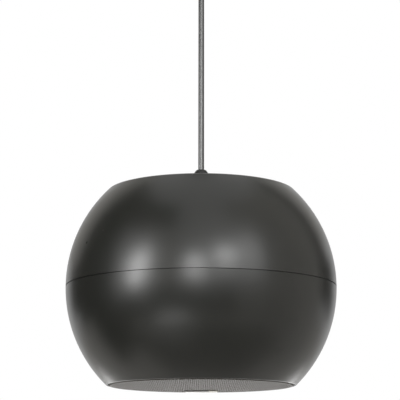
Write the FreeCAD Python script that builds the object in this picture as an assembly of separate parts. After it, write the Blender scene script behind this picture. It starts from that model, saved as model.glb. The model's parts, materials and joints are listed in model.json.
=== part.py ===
import FreeCAD, Part
import math
import os
from FreeCAD import Vector

# Pendant loudspeaker: a moulded ball, open below behind a steel grille, that hangs on its own cord.
# Sizes are millimetres. +Z is up and the origin lies on the ceiling, over the cord.
# The ball and what it holds are made about the ball's middle, and are lowered when they are written out.

# Ball: two moulded shells that meet at the equator, cut flat where they are top_radius wide
ball_diameter = 260.0
shell_wall = 3.5
top_radius = 89.7
shoulder_radius = 4.5
seam_gap = 0.8
seam_depth = 1.5
tongue_wall = 1.8
tongue_length = 4.0
tongue_clearance = 0.2
hang_drop = 353.0

# Mouth: a lip round the pocket that holds the grille, and the baffle that carries the driver
grille_clearance = 0.6
lip_width = 1.7
lip_rounding = 0.5
pocket_depth = 11.5
pocket_wall = 2.5
baffle_opening_clearance = 2.5
gusset_count = 12
gusset_thickness = 2.2
gusset_rise = 33.0
gusset_foot = 2.0
gusset_reach = 9.6
groove_rib_count = 24
groove_rib_thickness = 1.6

# Screw towers that hold the two shells together
tower_count = 6
tower_start_angle = 30.0
tower_inset = 6.1
tower_radius = 5.2
tower_bore_radius = 3.9
tower_floor = 4.0
tower_floor_depth = 8.0
housing_screw_length = 26.0
housing_screw_radius = 1.8
housing_screw_head_radius = 3.5
web_thickness = 2.2
web_length = 36.0
web_outer_rise = 12.0
weld = 1.0
wall_bite = 1.2

# Grille: steel sheet pressed into a shallow cap. The sheet's own holes are 2 mm apart, too many to cut, so
# the pattern is drawn at a wider pitch.
grille_radius = 88.0
grille_sheet = 0.8
grille_proud = 0.9
grille_bend_radius = 1.8
hole_pitch = 9.0
hole_width = 5.8
hole_margin = 1.4
crush_rib_count = 8
crush_rib_radius = 0.8
crush_rib_clearance = 0.05
crush_rib_lead = 2.0
cloth_thickness = 0.5
cloth_clearance = 0.2

# Bare plate on the grille
badge_length = 32.0
badge_width = 9.5
badge_thickness = 1.5
badge_corner_radius = 1.2
badge_rim_distance = 31.0
badge_turn = -10.0

# Driver frame, gaskets and screws
gasket_thickness = 1.5
flange_room = 12.6
flange_width = 13.5
frame_sheet = 1.2
frame_draft = 2.0
frame_wall_rise = 11.7
shelf_outer_radius = 44.0
shelf_inner_radius = 35.0
shelf_rise = 29.2
seat_radius = 33.5
seat_hole_radius = 19.0
seat_rise = 39.6
window_count = 4
window_angle = 62.0
window_margin = 2.0
driver_screw_count = 4
driver_screw_inset = 4.2
driver_screw_radius = 1.7
driver_screw_head_radius = 3.1
driver_screw_length = 12.0
driver_boss_radius = 4.0
driver_boss_height = 9.0
screw_head_height = 2.4
screw_head_rounding = 0.35
pilot_clearance = 0.1
pilot_spare = 1.5
sheet_hole_clearance = 0.2
screw_point_radius = 0.3
front_ring_thickness = 2.5
front_ring_margin = 1.0

# Motor: ferrite magnet between two steel plates
coil_former_radius = 13.0
coil_former_wall = 0.3
coil_former_length = 25.0
coil_radius = 13.4
coil_length = 9.0
coil_margin = 0.5
magnet_gap = 0.4
front_plate_radius = 33.0
front_plate_thickness = 5.0
magnet_radius = 37.0
magnet_hole_radius = 20.0
magnet_thickness = 14.0
yoke_thickness = 5.0
pole_chamfer = 0.8
pole_sink = 0.6
rivet_circle_radius = 27.0
rivet_count = 4
rivet_radius = 1.5
rivet_head_radius = 2.6
rivet_head_height = 0.9
rivet_grip = 4.0
rivet_clearance = 0.05
rivet_start_angle = 45.0

# Moving paper: cone, whizzer cone and dust cap. They travel 3 mm each way with the coil.
cone_edge_gap = 0.2
cone_lip = 3.3
cone_wall = 0.6
cone_neck_wall = 0.84
cone_middle_wall = 0.72
cone_neck_rise = 26.0
cone_flare = 3.1
glue_gap = 0.05
soft_gap = 0.3
whizzer_inset = 2.8
whizzer_length = 19.5
whizzer_wall = 0.5
whizzer_neck_wall = 0.75
whizzer_neck_drop = 2.4
dust_cap_height = 4.5
dust_cap_wall = 0.4

# Springy rings: rubber surround and corrugated spider
surround_wall = 0.6
surround_margin = 0.5
surround_roll_radius = 4.5
surround_land = 5.0
spider_margin = 1.0
spider_wall = 0.5
spider_wave_height = 0.9
spider_wave_count = 5
spider_crest_width = 0.7
spider_collar = 1.2
spider_land = 6.0

# Driver terminals
terminal_board_width = 16.0
terminal_board_height = 12.0
terminal_board_thickness = 1.6
tag_spacing = 8.0
tag_width = 2.8
tag_thickness = 0.5
tag_height = 4.0

# Cord and gland
cord_radius = 2.85
cord_clearance = 0.1
gland_thread_radius = 6.0
gland_thread_length = 11.0
gland_hole_clearance = 0.15
gland_washer_radius = 9.4
gland_washer_thickness = 1.0
gland_across_flats = 15.0
gland_hex_height = 4.0
gland_collar_radius = 5.2
gland_collar_height = 9.0
gland_bore_radius = 3.6
nut_gap = 0.3
nut_hex_height = 7.0
nut_dome_height = 9.1
nut_dome_bulge_out = 0.9
nut_dome_bulge_up = 1.2
nut_top_radius = 4.7
nut_cone_rise = 1.5
thread_clearance = 0.05
collar_clearance = 0.1
seal_inside_length = 3.0
seal_lip_length = 1.5
locknut_across_flats = 17.0
locknut_height = 4.0
load_plate_radius = 25.0
load_plate_thickness = 2.0
cord_stop_radius = 5.6
cord_stop_length = 10.0

# Line transformer, hung from two pads under the flat top
pad_height = 6.0
pad_radius = 4.5
core_width = 48.0
core_height = 40.0
core_stack = 16.0
limb_width = 16.0
window_width = 8.0
window_height = 24.0
winding_clearance = 0.3
winding_bulge = 7.0
winding_corner_radius = 4.9
transformer_tower_distance = 32.5
bracket_sheet = 1.0
ear_length = 12.0
ear_screw_radius = 1.4
ear_screw_head_radius = 2.8
ear_screw_length = 6.0

# Terminal block, screwed to its own pad under the flat top
block_length = 36.0
block_width = 18.0
block_height = 16.0
block_tower_distance = 22.5
block_pad_radius = 6.0
block_entry_x = -10.0
block_entry_step = 3.0
block_pole_count = 4
block_slot_width = 5.0
block_slot_depth = 6.0
bend_share = 0.45
wire_radius = 0.9
wire_drop = 20.0
wire_sway = 4.0
wire_spacing = 2.4
transformer_leads_x = 8.0
transformer_lead_shares = (0.32, 0.62, 0.83)
transformer_lead_dip = 2.5
driver_lead_heights = (0.7, 0.4, 0.2, 0.09)

# Ceiling fitting: a cup over a bracket, with the grip that the cord hangs from
cup_radius = 40.0
cup_height = 42.0
cup_wall = 2.0
cup_rounding = 6.0
bracket_width = 16.0
bracket_steel = 1.5
bracket_leg_height = 14.0
bracket_leg_gap = 1.0
ceiling_screw_spacing = 50.0
ceiling_screw_hole_radius = 2.25
cup_screw_radius = 1.5
cup_screw_spare = 1.0
cup_screw_height = 8.0
cup_screw_head_radius = 2.8
cup_screw_head_height = 1.8
grip_length = 14.0
grip_shoulder = 5.0
grip_top_radius = 8.0
grip_tip_radius = 4.6
grip_thread_radius = 4.9
grip_thread_length = 10.0
grip_nut_across_flats = 14.0
grip_nut_height = 4.0
ceiling_stop_radius = 5.4
ceiling_stop_length = 8.0
ceiling_block_length = 20.0
ceiling_block_width = 14.0
ceiling_block_height = 12.0
ceiling_slot_spacing = 11.0
ceiling_slot_length = 4.0
ceiling_slot_width = 3.0
ceiling_slot_depth = 5.0

# Places that follow from the sizes above, measured from the ball's middle
ball_radius = ball_diameter / 2
inner_radius = ball_radius - shell_wall
top_height = math.sqrt(ball_radius ** 2 - top_radius ** 2)
top_inside = top_height - shell_wall
pocket_radius = grille_radius + grille_clearance
lip_depth = math.sqrt(ball_radius ** 2 - (pocket_radius + lip_width) ** 2)
baffle_face = pocket_depth - lip_depth
baffle_back = baffle_face + shell_wall
groove_radius = pocket_radius + pocket_wall
tower_circle_radius = pocket_radius - tower_inset
flange_radius = pocket_radius - flange_room
frame_throat_radius = flange_radius - flange_width
baffle_opening_radius = frame_throat_radius + baffle_opening_clearance
grille_face = -lip_depth - grille_proud
grille_back = grille_face + grille_sheet
flange_front = baffle_face - gasket_thickness - frame_sheet
shelf_front = flange_front + shelf_rise
seat_front = flange_front + seat_rise
front_plate_low = seat_front + frame_sheet
magnet_low = front_plate_low + front_plate_thickness
yoke_low = magnet_low + magnet_thickness
pole_radius = coil_former_radius - coil_former_wall - magnet_gap
coil_middle = front_plate_low + front_plate_thickness / 2
former_high = coil_middle + coil_length / 2 + coil_margin
former_low = former_high - coil_former_length
yoke_high = yoke_low + yoke_thickness
roll_outer_radius = frame_throat_radius + surround_margin
roll_inner_radius = roll_outer_radius - 2 * surround_roll_radius
cone_edge_radius = roll_inner_radius - cone_edge_gap
cone_bend_radius = cone_edge_radius - cone_lip
cone_neck_radius = coil_former_radius + glue_gap
cone_lip_front = flange_front + soft_gap
cone_neck_front = cone_lip_front + cone_neck_rise
spider_edge_radius = shelf_inner_radius + spider_margin
tag_y = (shelf_inner_radius + shelf_outer_radius + terminal_board_thickness + tag_thickness) / 2
tag_high = shelf_front + frame_sheet + terminal_board_height + tag_height
gland_seat = top_height + gland_washer_thickness
nut_low = gland_seat + gland_hex_height + nut_gap
cord_exit = nut_low + nut_hex_height + nut_dome_height
gland_tail = gland_seat - gland_thread_length
collar_high = gland_seat + gland_hex_height + gland_collar_height
stop_low = gland_tail - cord_stop_length
pad_face = top_inside - pad_height
transformer_y = tower_circle_radius - transformer_tower_distance
block_y = block_tower_distance - tower_circle_radius
core_low = pad_face - core_height
winding_middle = pad_face - core_height / 2
block_low = pad_face - block_height
cup_floor = -cup_height
grip_tip = cup_floor - grip_length

ORIGIN = Vector(0, 0, 0)
UP = Vector(0, 0, 1)


def turned(points):
    """A turned solid from a closed outline of (radius, height) points."""
    corners = [Vector(r, 0, z) for r, z in points]
    outline = Part.makePolygon(corners + corners[:1])
    return Part.Face(outline).revolve(ORIGIN, UP, 360)


def turned_edges(edges):
    """A turned solid from an outline of straight and curved edges."""
    return Part.Face(Part.Wire(edges)).revolve(ORIGIN, UP, 360)


def line(start, end):
    """A straight edge between two (radius, height) points."""
    return Part.LineSegment(Vector(start[0], 0, start[1]), Vector(end[0], 0, end[1])).toShape()


def arc(start, middle, end):
    """A round edge through three (radius, height) points."""
    points = [Vector(r, 0, z) for r, z in (start, middle, end)]
    return Part.Arc(*points).toShape()


def rod(radius, low, high, x=0.0, y=0.0):
    """An upright round bar."""
    return Part.makeCylinder(radius, high - low, Vector(x, y, low))


def ring(outer, inner, low, high):
    """A flat round ring."""
    return rod(outer, low, high).cut(rod(inner, low, high))


def block(length, width, low, high, x=0.0, y=0.0):
    """A straight-sided block, centred on x and y."""
    return Part.makeBox(length, width, high - low, Vector(x - length / 2, y - width / 2, low))


def hexagon(across_flats, low, high):
    """A six-sided prism about the Z axis."""
    corner_radius = across_flats / math.sqrt(3)
    corners = [polar(corner_radius, 60 * k, low) for k in range(7)]
    return Part.Face(Part.makePolygon(corners)).extrude(Vector(0, 0, high - low))


def polar(radius, angle, z=0.0):
    """The point at a radius, an angle in degrees and a height."""
    turn = math.radians(angle)
    return Vector(radius * math.cos(turn), radius * math.sin(turn), z)


def around(count, start_angle=0.0):
    """Evenly spaced angles in degrees."""
    return [start_angle + 360 * k / count for k in range(count)]


def ball_slice(radius, low, high):
    """The part of a solid ball that lies between two heights."""
    low_angle = math.degrees(math.asin(low / radius))
    high_angle = math.degrees(math.asin(high / radius))
    return Part.makeSphere(radius, ORIGIN, UP, low_angle, high_angle, 360)


def rims(shape, z):
    """The round edges of a turned solid at one height."""
    found = []
    for edge in shape.Edges:
        box = edge.BoundBox
        if abs(box.ZMin - z) < 0.001 and abs(box.ZMax - z) < 0.001:
            found.append(edge)
    return found


def upright_plate(points, thickness, angle):
    """A flat plate that stands on a radius, from (radius, height) corners."""
    corners = [Vector(r, -thickness / 2, z) for r, z in points]
    face = Part.Face(Part.makePolygon(corners + corners[:1]))
    plate = face.extrude(Vector(0, thickness, 0))
    plate.rotate(ORIGIN, UP, angle)
    return plate


def pressed_sheet(path, thickness):
    """A turned piece of sheet: the path is its front face, and the thickness lies behind it."""
    normals = []
    for (r0, z0), (r1, z1) in zip(path, path[1:]):
        length = math.hypot(r1 - r0, z1 - z0)
        normals.append(((z1 - z0) / length, (r0 - r1) / length))
    back = []
    for k, (r, z) in enumerate(path):
        before = normals[max(k - 1, 0)]
        after = normals[min(k, len(normals) - 1)]
        across = (before[0] + after[0], before[1] + after[1])
        scale = thickness / (1 + before[0] * after[0] + before[1] * after[1])
        back.append((r + across[0] * scale, z + across[1] * scale))
    return turned(path + back[::-1])


def bent_tube(points, radius, held=0.0):
    """A round tube along straight runs, each corner rounded as far as its shorter run allows.

    The first stretch, as long as held, stays straight.
    """
    route = [Vector(*p) for p in points]
    edges = []
    start = route[0]
    for before, corner, after in zip(route, route[1:], route[2:]):
        into = (corner - before).normalize()
        onward = (after - corner).normalize()
        half_turn = into.getAngle(onward) / 2
        set_back = bend_share * min((corner - before).Length, (after - corner).Length)
        set_back = min(set_back, (corner - start).Length - held)
        held = 0.0
        bend = set_back / math.tan(half_turn)
        arc_start = corner - into * set_back
        arc_end = corner + onward * set_back
        inward = (onward - into).normalize()
        arc_middle = corner + inward * (bend / math.cos(half_turn) - bend)
        edges.append(Part.LineSegment(start, arc_start).toShape())
        edges.append(Part.Arc(arc_start, arc_middle, arc_end).toShape())
        print(f"  bend of radius {bend:.1f} mm, {bend / radius / 2:.1f} diameters")
        start = arc_end
    edges.append(Part.LineSegment(start, route[-1]).toShape())
    section = Part.Wire(Part.makeCircle(radius, route[0], route[1] - route[0]))
    tube = Part.Wire(edges).makePipeShell([section], True, False)
    length = sum(edge.Length for edge in edges)
    print(f"  tube {length:.1f} mm long, volume share {tube.Volume / (math.pi * radius ** 2 * length):.4f}")
    return tube


def screw(head_radius, head_height, shank_radius, length, seat, x=0.0, y=0.0):
    """A pan-head screw that points up, its head hanging below the seat."""
    edge = screw_head_rounding * head_height
    outline = [(0, seat - head_height), (head_radius - edge, seat - head_height)]
    outline += [(head_radius, seat - head_height + edge), (head_radius, seat), (shank_radius, seat)]
    outline += [(shank_radius, seat + length - shank_radius),
                (screw_point_radius, seat + length), (0, seat + length)]
    piece = turned(outline)
    piece.translate(Vector(x, y, 0))
    return piece


def joined(first, others):
    """One solid from several that overlap."""
    return first.multiFuse(others).removeSplitter()


def tower_spots():
    """The middles of the screw towers."""
    return [polar(tower_circle_radius, a) for a in around(tower_count, tower_start_angle)]


def driver_screw_spots():
    """The middles of the driver's screws, between the frame's windows."""
    start = 180 / driver_screw_count
    circle_radius = flange_radius - driver_screw_inset
    return [polar(circle_radius, a) for a in around(driver_screw_count, start)]


def rivet_spots():
    """The middles of the rivets that hold the motor to the frame."""
    return [polar(rivet_circle_radius, a) for a in around(rivet_count, rivet_start_angle)]


def ear_spots():
    """Where the transformer's bracket is screwed to its pads."""
    reach = core_width / 2 + bracket_sheet + ear_length / 2
    return [Vector(side * reach, transformer_y, 0) for side in (-1, 1)]


def upper_shell():
    """The upper half: flat top with a rounded shoulder, seam tongue, screw towers with webs, and pads."""
    shell = ball_slice(ball_radius, 0, top_height)
    shell = shell.makeFillet(shoulder_radius, rims(shell, top_height))
    shell = shell.cut(ball_slice(inner_radius, -weld, top_inside))
    shell = shell.cut(ring(ball_radius + weld, ball_radius - seam_depth, 0, seam_gap / 2))
    outside = inner_radius - tongue_clearance
    inside = outside - tongue_wall
    root = inner_radius + wall_bite
    tongue = turned([(inside, -tongue_length), (outside, -tongue_length), (outside, 0), (root, 0),
                     (root, tongue_length), (inside, tongue_length)])
    parts = [tongue]
    into_wall = ball_slice(inner_radius + wall_bite, 0, top_inside + wall_bite)
    web_low = top_inside - web_length
    web_outline = [(tower_circle_radius, web_low), (tower_circle_radius, top_height),
                   (ball_radius, top_height), (ball_radius, web_low + web_outer_rise)]
    for angle in around(tower_count, tower_start_angle):
        spot = polar(tower_circle_radius, angle)
        parts.append(rod(tower_radius, 0, top_height, spot.x, spot.y).common(into_wall))
        parts.append(upright_plate(web_outline, web_thickness, angle).common(into_wall))
    for spot in ear_spots():
        parts.append(rod(pad_radius, pad_face, top_inside + weld, spot.x, spot.y))
    parts.append(rod(block_pad_radius, pad_face, top_inside + weld, 0, block_y))
    shell = joined(shell, parts)
    hole = housing_screw_radius + pilot_clearance
    depth = housing_screw_length - tower_floor + pilot_spare
    holes = [rod(hole, -weld, depth, spot.x, spot.y) for spot in tower_spots()]
    hole = ear_screw_radius + pilot_clearance
    top = pad_face + ear_screw_length - bracket_sheet + pilot_spare
    holes += [rod(hole, pad_face - weld, top, spot.x, spot.y) for spot in ear_spots()]
    holes.append(rod(hole, pad_face - weld, pad_face + ear_screw_length + pilot_spare, 0, block_y))
    holes.append(rod(gland_thread_radius + gland_hole_clearance, top_inside - weld, top_height + weld))
    return shell.cut(Part.makeCompound(holes))


def lower_shell():
    """The lower half: mouth lip and pocket, baffle, cored lip with ribs, gussets and screw towers."""
    shell = ball_slice(ball_radius, -lip_depth, 0)
    shell = shell.cut(ball_slice(inner_radius, baffle_back, weld))
    shell = shell.cut(rod(pocket_radius, -lip_depth - weld, baffle_face))
    shell = shell.cut(rod(baffle_opening_radius, baffle_face - weld, baffle_back + weld))
    shell = shell.makeFillet(lip_rounding, rims(shell, -lip_depth))
    shell = shell.cut(ring(ball_radius + weld, ball_radius - seam_depth, -seam_gap / 2, 0))
    groove_low = -math.sqrt(inner_radius ** 2 - groove_radius ** 2)
    groove = ball_slice(inner_radius, groove_low, baffle_back)
    shell = shell.cut(groove.cut(rod(groove_radius, groove_low, baffle_back)))
    into_wall = ball_slice(inner_radius + wall_bite, groove_low, -tongue_length - weld)
    gusset_inner_radius = pocket_radius - gusset_reach
    parts = []
    rib = [(groove_radius - weld, groove_low), (ball_radius, groove_low),
           (ball_radius, baffle_back), (groove_radius - weld, baffle_back)]
    for angle in around(groove_rib_count, 180 / groove_rib_count):
        parts.append(upright_plate(rib, groove_rib_thickness, angle).common(into_wall))
    gusset = [(gusset_inner_radius, baffle_back - weld), (groove_radius - weld, baffle_back - weld),
              (groove_radius - weld, groove_low), (ball_radius, groove_low),
              (ball_radius, baffle_back + gusset_rise), (gusset_inner_radius, baffle_back + gusset_foot)]
    for angle in around(gusset_count):
        parts.append(upright_plate(gusset, gusset_thickness, angle).common(into_wall))
    for spot in tower_spots():
        parts.append(rod(tower_radius, baffle_back - weld, 0, spot.x, spot.y))
    for spot in driver_screw_spots():
        boss_high = baffle_back + driver_boss_height
        parts.append(rod(driver_boss_radius, baffle_back - weld, boss_high, spot.x, spot.y))
    rib_middle = grille_radius + crush_rib_clearance + crush_rib_radius
    for angle in around(crush_rib_count):
        spot = polar(rib_middle, angle)
        parts.append(rod(crush_rib_radius, crush_rib_lead - lip_depth, baffle_face + weld, spot.x, spot.y))
    shell = joined(shell, parts)
    holes = []
    floor = -tower_floor_depth - tower_floor
    for spot in tower_spots():
        holes.append(rod(tower_bore_radius, baffle_face - weld, floor, spot.x, spot.y))
        holes.append(rod(housing_screw_radius + pilot_clearance, floor - weld, weld, spot.x, spot.y))
    deep = baffle_face + driver_screw_length + pilot_spare
    for spot in driver_screw_spots():
        holes.append(rod(driver_screw_radius + pilot_clearance, baffle_face - weld, deep, spot.x, spot.y))
    return shell.cut(Part.makeCompound(holes))


def housing_screws():
    """Six long screws, deep in the lower towers, that draw the two shells together."""
    seat = -tower_floor_depth - tower_floor
    return Part.makeCompound([
        screw(housing_screw_head_radius, screw_head_height, housing_screw_radius,
              housing_screw_length, seat, spot.x, spot.y)
        for spot in tower_spots()])


def hole_spots(field_radius):
    """A staggered lattice, with its close rows along Y."""
    column_step = hole_pitch * math.sqrt(3) / 2
    columns = int(field_radius / column_step)
    rows = int(field_radius / hole_pitch) + 1
    spots = []
    for i in range(-columns, columns + 1):
        for j in range(-rows, rows + 1):
            spot = Vector(i * column_step, (j + 0.5 * (i % 2)) * hole_pitch, 0)
            if spot.Length <= field_radius:
                spots.append(spot)
    return spots


def grille():
    """A perforated steel sheet whose edge is turned up into the pocket, as far as the baffle."""
    flat_radius = grille_radius - grille_bend_radius
    corner_radius = hole_width / math.sqrt(3)
    disc = Part.Face(Part.Wire(Part.makeCircle(flat_radius, Vector(0, 0, grille_face))))
    holes = []
    for spot in hole_spots(flat_radius - hole_margin - corner_radius):
        corners = [spot + polar(corner_radius, 60 * k, grille_face) for k in range(7)]
        holes.append(Part.Face(Part.makePolygon(corners)))
    sheet = disc.cut(Part.makeCompound(holes)).Faces[0].extrude(Vector(0, 0, grille_sheet))
    inner_bend = grille_bend_radius - grille_sheet
    bend_z = grille_face + grille_bend_radius
    slant = math.sqrt(0.5)
    edges = [
        arc((flat_radius, grille_face),
            (flat_radius + grille_bend_radius * slant, bend_z - grille_bend_radius * slant),
            (grille_radius, bend_z)),
        line((grille_radius, bend_z), (grille_radius, baffle_face)),
        line((grille_radius, baffle_face), (grille_radius - grille_sheet, baffle_face)),
        line((grille_radius - grille_sheet, baffle_face), (grille_radius - grille_sheet, bend_z)),
        arc((grille_radius - grille_sheet, bend_z),
            (flat_radius + inner_bend * slant, bend_z - inner_bend * slant),
            (flat_radius, grille_back)),
        line((flat_radius, grille_back), (flat_radius, grille_face)),
    ]
    return sheet.fuse(turned_edges(edges))


def grille_cloth():
    """Black acoustic cloth, glued to the back of the grille."""
    radius = grille_radius - grille_bend_radius - cloth_clearance
    return rod(radius, grille_back, grille_back + cloth_thickness)


def badge_plate():
    """A small bare plate on the grille."""
    plate = block(badge_length, badge_width, grille_face - badge_thickness, grille_face)
    upright = [e for e in plate.Edges if e.BoundBox.ZLength > badge_thickness / 2]
    plate = plate.makeFillet(badge_corner_radius, upright)
    plate.rotate(ORIGIN, UP, badge_turn)
    plate.translate(Vector(0, grille_radius - badge_rim_distance, 0))
    return plate


def driver_gasket():
    """The foam ring between the driver's flange and the baffle."""
    low = baffle_face - gasket_thickness
    gasket = ring(flange_radius, baffle_opening_radius, low, baffle_face)
    holes = [rod(driver_screw_radius + pilot_clearance, low, baffle_face, spot.x, spot.y)
             for spot in driver_screw_spots()]
    return gasket.cut(Part.makeCompound(holes))


def driver_basket():
    """The driver's pressed steel frame: flange, throat, windows, spider shelf and magnet seat."""
    path = [
        (flange_radius, flange_front),
        (frame_throat_radius, flange_front),
        (frame_throat_radius - frame_draft, flange_front + frame_wall_rise),
        (shelf_outer_radius, shelf_front),
        (shelf_inner_radius, shelf_front),
        (seat_radius, seat_front),
        (seat_hole_radius, seat_front),
    ]
    basket = pressed_sheet(path, frame_sheet)
    low = flange_front + frame_wall_rise + window_margin
    high = shelf_front - window_margin
    outline = Part.makePolygon([
        Vector(shelf_inner_radius, 0, low), Vector(flange_radius, 0, low),
        Vector(flange_radius, 0, high), Vector(shelf_inner_radius, 0, high),
        Vector(shelf_inner_radius, 0, low)])
    cuts = []
    for angle in around(window_count, -window_angle / 2):
        window = Part.Face(outline).revolve(ORIGIN, UP, window_angle)
        window.rotate(ORIGIN, UP, angle)
        cuts.append(window)
    for spot in driver_screw_spots():
        cuts.append(rod(driver_screw_radius + sheet_hole_clearance, flange_front - weld,
                        flange_front + frame_sheet + weld, spot.x, spot.y))
    for spot in rivet_spots():
        cuts.append(rod(rivet_radius + rivet_clearance, seat_front - weld,
                        seat_front + frame_sheet + weld, spot.x, spot.y))
    return basket.cut(Part.makeCompound(cuts))


def driver_front_ring():
    """The pressed card ring that clamps the surround's outer edge to the flange."""
    high = flange_front - surround_wall
    return ring(roll_outer_radius + surround_land, frame_throat_radius + front_ring_margin,
                high - front_ring_thickness, high)


def driver_screws():
    """The screws that hold the driver to the baffle's bosses."""
    length = driver_screw_length + gasket_thickness + frame_sheet
    return Part.makeCompound([
        screw(driver_screw_head_radius, screw_head_height, driver_screw_radius, length,
              flange_front, spot.x, spot.y)
        for spot in driver_screw_spots()])


def motor_front_plate():
    """The steel washer round the coil's gap."""
    plate = ring(front_plate_radius, coil_radius + magnet_gap, front_plate_low, magnet_low)
    high = front_plate_low + rivet_grip
    holes = [rod(rivet_radius + rivet_clearance, front_plate_low - weld, high, spot.x, spot.y)
             for spot in rivet_spots()]
    return plate.cut(Part.makeCompound(holes))


def motor_magnet():
    """The ferrite ring."""
    return ring(magnet_radius, magnet_hole_radius, magnet_low, yoke_low)


def motor_yoke():
    """The back plate and the pole that stands in the coil, forged as one."""
    tip = front_plate_low - pole_sink
    return turned([(0, tip), (pole_radius - pole_chamfer, tip), (pole_radius, tip + pole_chamfer),
                   (pole_radius, yoke_low), (front_plate_radius, yoke_low),
                   (front_plate_radius, yoke_high), (0, yoke_high)])


def motor_rivets():
    """The rivets that hold the frame to the front plate."""
    length = frame_sheet + rivet_grip - screw_point_radius
    return Part.makeCompound([
        screw(rivet_head_radius, rivet_head_height, rivet_radius, length, seat_front, spot.x, spot.y)
        for spot in rivet_spots()])


def coil_former():
    """The thin tube that carries the coil and drives the cone."""
    return ring(coil_former_radius, coil_former_radius - coil_former_wall, former_low, former_high)


def coil_winding():
    """The voice coil, one packed sleeve of wire."""
    return ring(coil_radius, coil_former_radius, coil_middle - coil_length / 2, coil_middle + coil_length / 2)


def cone():
    """The pressed paper cone: a flared wall from the coil to a flat lip."""
    neck = cone_neck_radius
    bend = cone_bend_radius
    neck_back = cone_neck_front + cone_neck_wall
    lip_back = cone_lip_front + cone_wall
    middle_radius = (neck + bend) / 2
    middle_front = (cone_neck_front + cone_lip_front) / 2 - cone_flare
    edges = [
        arc((neck, cone_neck_front), (middle_radius, middle_front), (bend, cone_lip_front)),
        line((bend, cone_lip_front), (cone_edge_radius, cone_lip_front)),
        line((cone_edge_radius, cone_lip_front), (cone_edge_radius, lip_back)),
        line((cone_edge_radius, lip_back), (bend, lip_back)),
        arc((bend, lip_back), (middle_radius, middle_front + cone_middle_wall), (neck, neck_back)),
        line((neck, neck_back), (neck, cone_neck_front)),
    ]
    return turned_edges(edges)


def whizzer_cone():
    """The small stiff cone that adds the high notes, glued to the coil's tube in front of the large one."""
    neck = cone_neck_radius
    rim = (neck + cone_bend_radius) / 2 - whizzer_inset
    start = cone_neck_front - whizzer_neck_drop
    return turned([(neck, start), (rim, start - whizzer_length), (rim + whizzer_wall, start - whizzer_length),
                   (neck, start + whizzer_neck_wall)])


def dust_cap():
    """The dome that closes the coil's tube."""
    base = coil_former_radius
    dome_radius = (dust_cap_height ** 2 + base ** 2) / (2 * dust_cap_height)
    middle = Vector(0, 0, former_low - dust_cap_height + dome_radius)
    dome = Part.makeSphere(dome_radius, middle).cut(Part.makeSphere(dome_radius - dust_cap_wall, middle))
    return dome.common(rod(base, former_low - dust_cap_height - weld, former_low))


def surround():
    """The rubber half roll between the cone's lip and the flange."""
    high = flange_front
    low = flange_front - surround_wall
    outer = roll_outer_radius
    inner = roll_inner_radius
    middle = outer - surround_roll_radius
    inside_roll = surround_roll_radius - surround_wall
    land_end = cone_bend_radius
    edges = [
        line((outer + surround_land, high), (outer + surround_land, low)),
        line((outer + surround_land, low), (outer, low)),
        arc((outer, low), (middle, low - surround_roll_radius), (inner, low)),
        line((inner, low), (land_end, low)),
        line((land_end, low), (land_end, high)),
        line((land_end, high), (middle - inside_roll, high)),
        line((middle - inside_roll, high), (middle - inside_roll, low)),
        arc((middle - inside_roll, low), (middle, low - inside_roll), (middle + inside_roll, low)),
        line((middle + inside_roll, low), (middle + inside_roll, high)),
        line((middle + inside_roll, high), (outer + surround_land, high)),
    ]
    return turned_edges(edges)


def spider():
    """The corrugated cloth ring that centres the coil, glued under the frame's shelf."""
    inner = coil_former_radius + soft_gap
    half_wave = (spider_edge_radius - inner - spider_collar) / (2 * spider_wave_count)
    level = shelf_front - spider_wall
    path = [(spider_edge_radius + spider_land, level), (spider_edge_radius, level)]
    for k in range(2 * spider_wave_count):
        middle = spider_edge_radius - (k + 0.5) * half_wave
        height = level + (spider_wave_height if k % 2 else -spider_wave_height)
        path += [(middle + spider_crest_width / 2, height), (middle - spider_crest_width / 2, height)]
    path += [(inner + spider_collar, level), (inner, level)]
    return pressed_sheet(path, spider_wall)


def driver_terminals():
    """The terminal board that stands on the frame's shelf, with two solder tags."""
    low = shelf_front + frame_sheet
    high = low + terminal_board_height
    board_y = (shelf_inner_radius + shelf_outer_radius) / 2
    board = block(terminal_board_width, terminal_board_thickness, low, high, 0, board_y)
    tags = []
    for side in (-1, 1):
        tags.append(block(tag_width, tag_thickness, high - 2 * tag_height, tag_high,
                          side * tag_spacing / 2, tag_y))
    return joined(board, tags)


def gland_washer():
    """The rubber washer that seals the gland on the flat top."""
    return ring(gland_washer_radius, gland_thread_radius + thread_clearance, top_height, gland_seat)


def gland_body():
    """The gland's body: threaded tail through the top, hexagon, and the collar that the nut closes on."""
    tail = rod(gland_thread_radius, gland_tail, gland_seat + weld)
    hexagonal = hexagon(gland_across_flats, gland_seat, gland_seat + gland_hex_height)
    collar = rod(gland_collar_radius, gland_seat + weld, collar_high)
    body = joined(tail, [hexagonal, collar])
    return body.cut(rod(gland_bore_radius, gland_tail - weld, cord_exit))


def gland_seal():
    """The rubber sleeve that grips the cord above the collar."""
    bore = cord_radius + cord_clearance / 2
    inside = ring(gland_bore_radius - collar_clearance, bore, collar_high - seal_inside_length, collar_high)
    above = ring(gland_collar_radius, bore, collar_high, collar_high + seal_lip_length)
    return joined(inside, [above])


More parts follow.
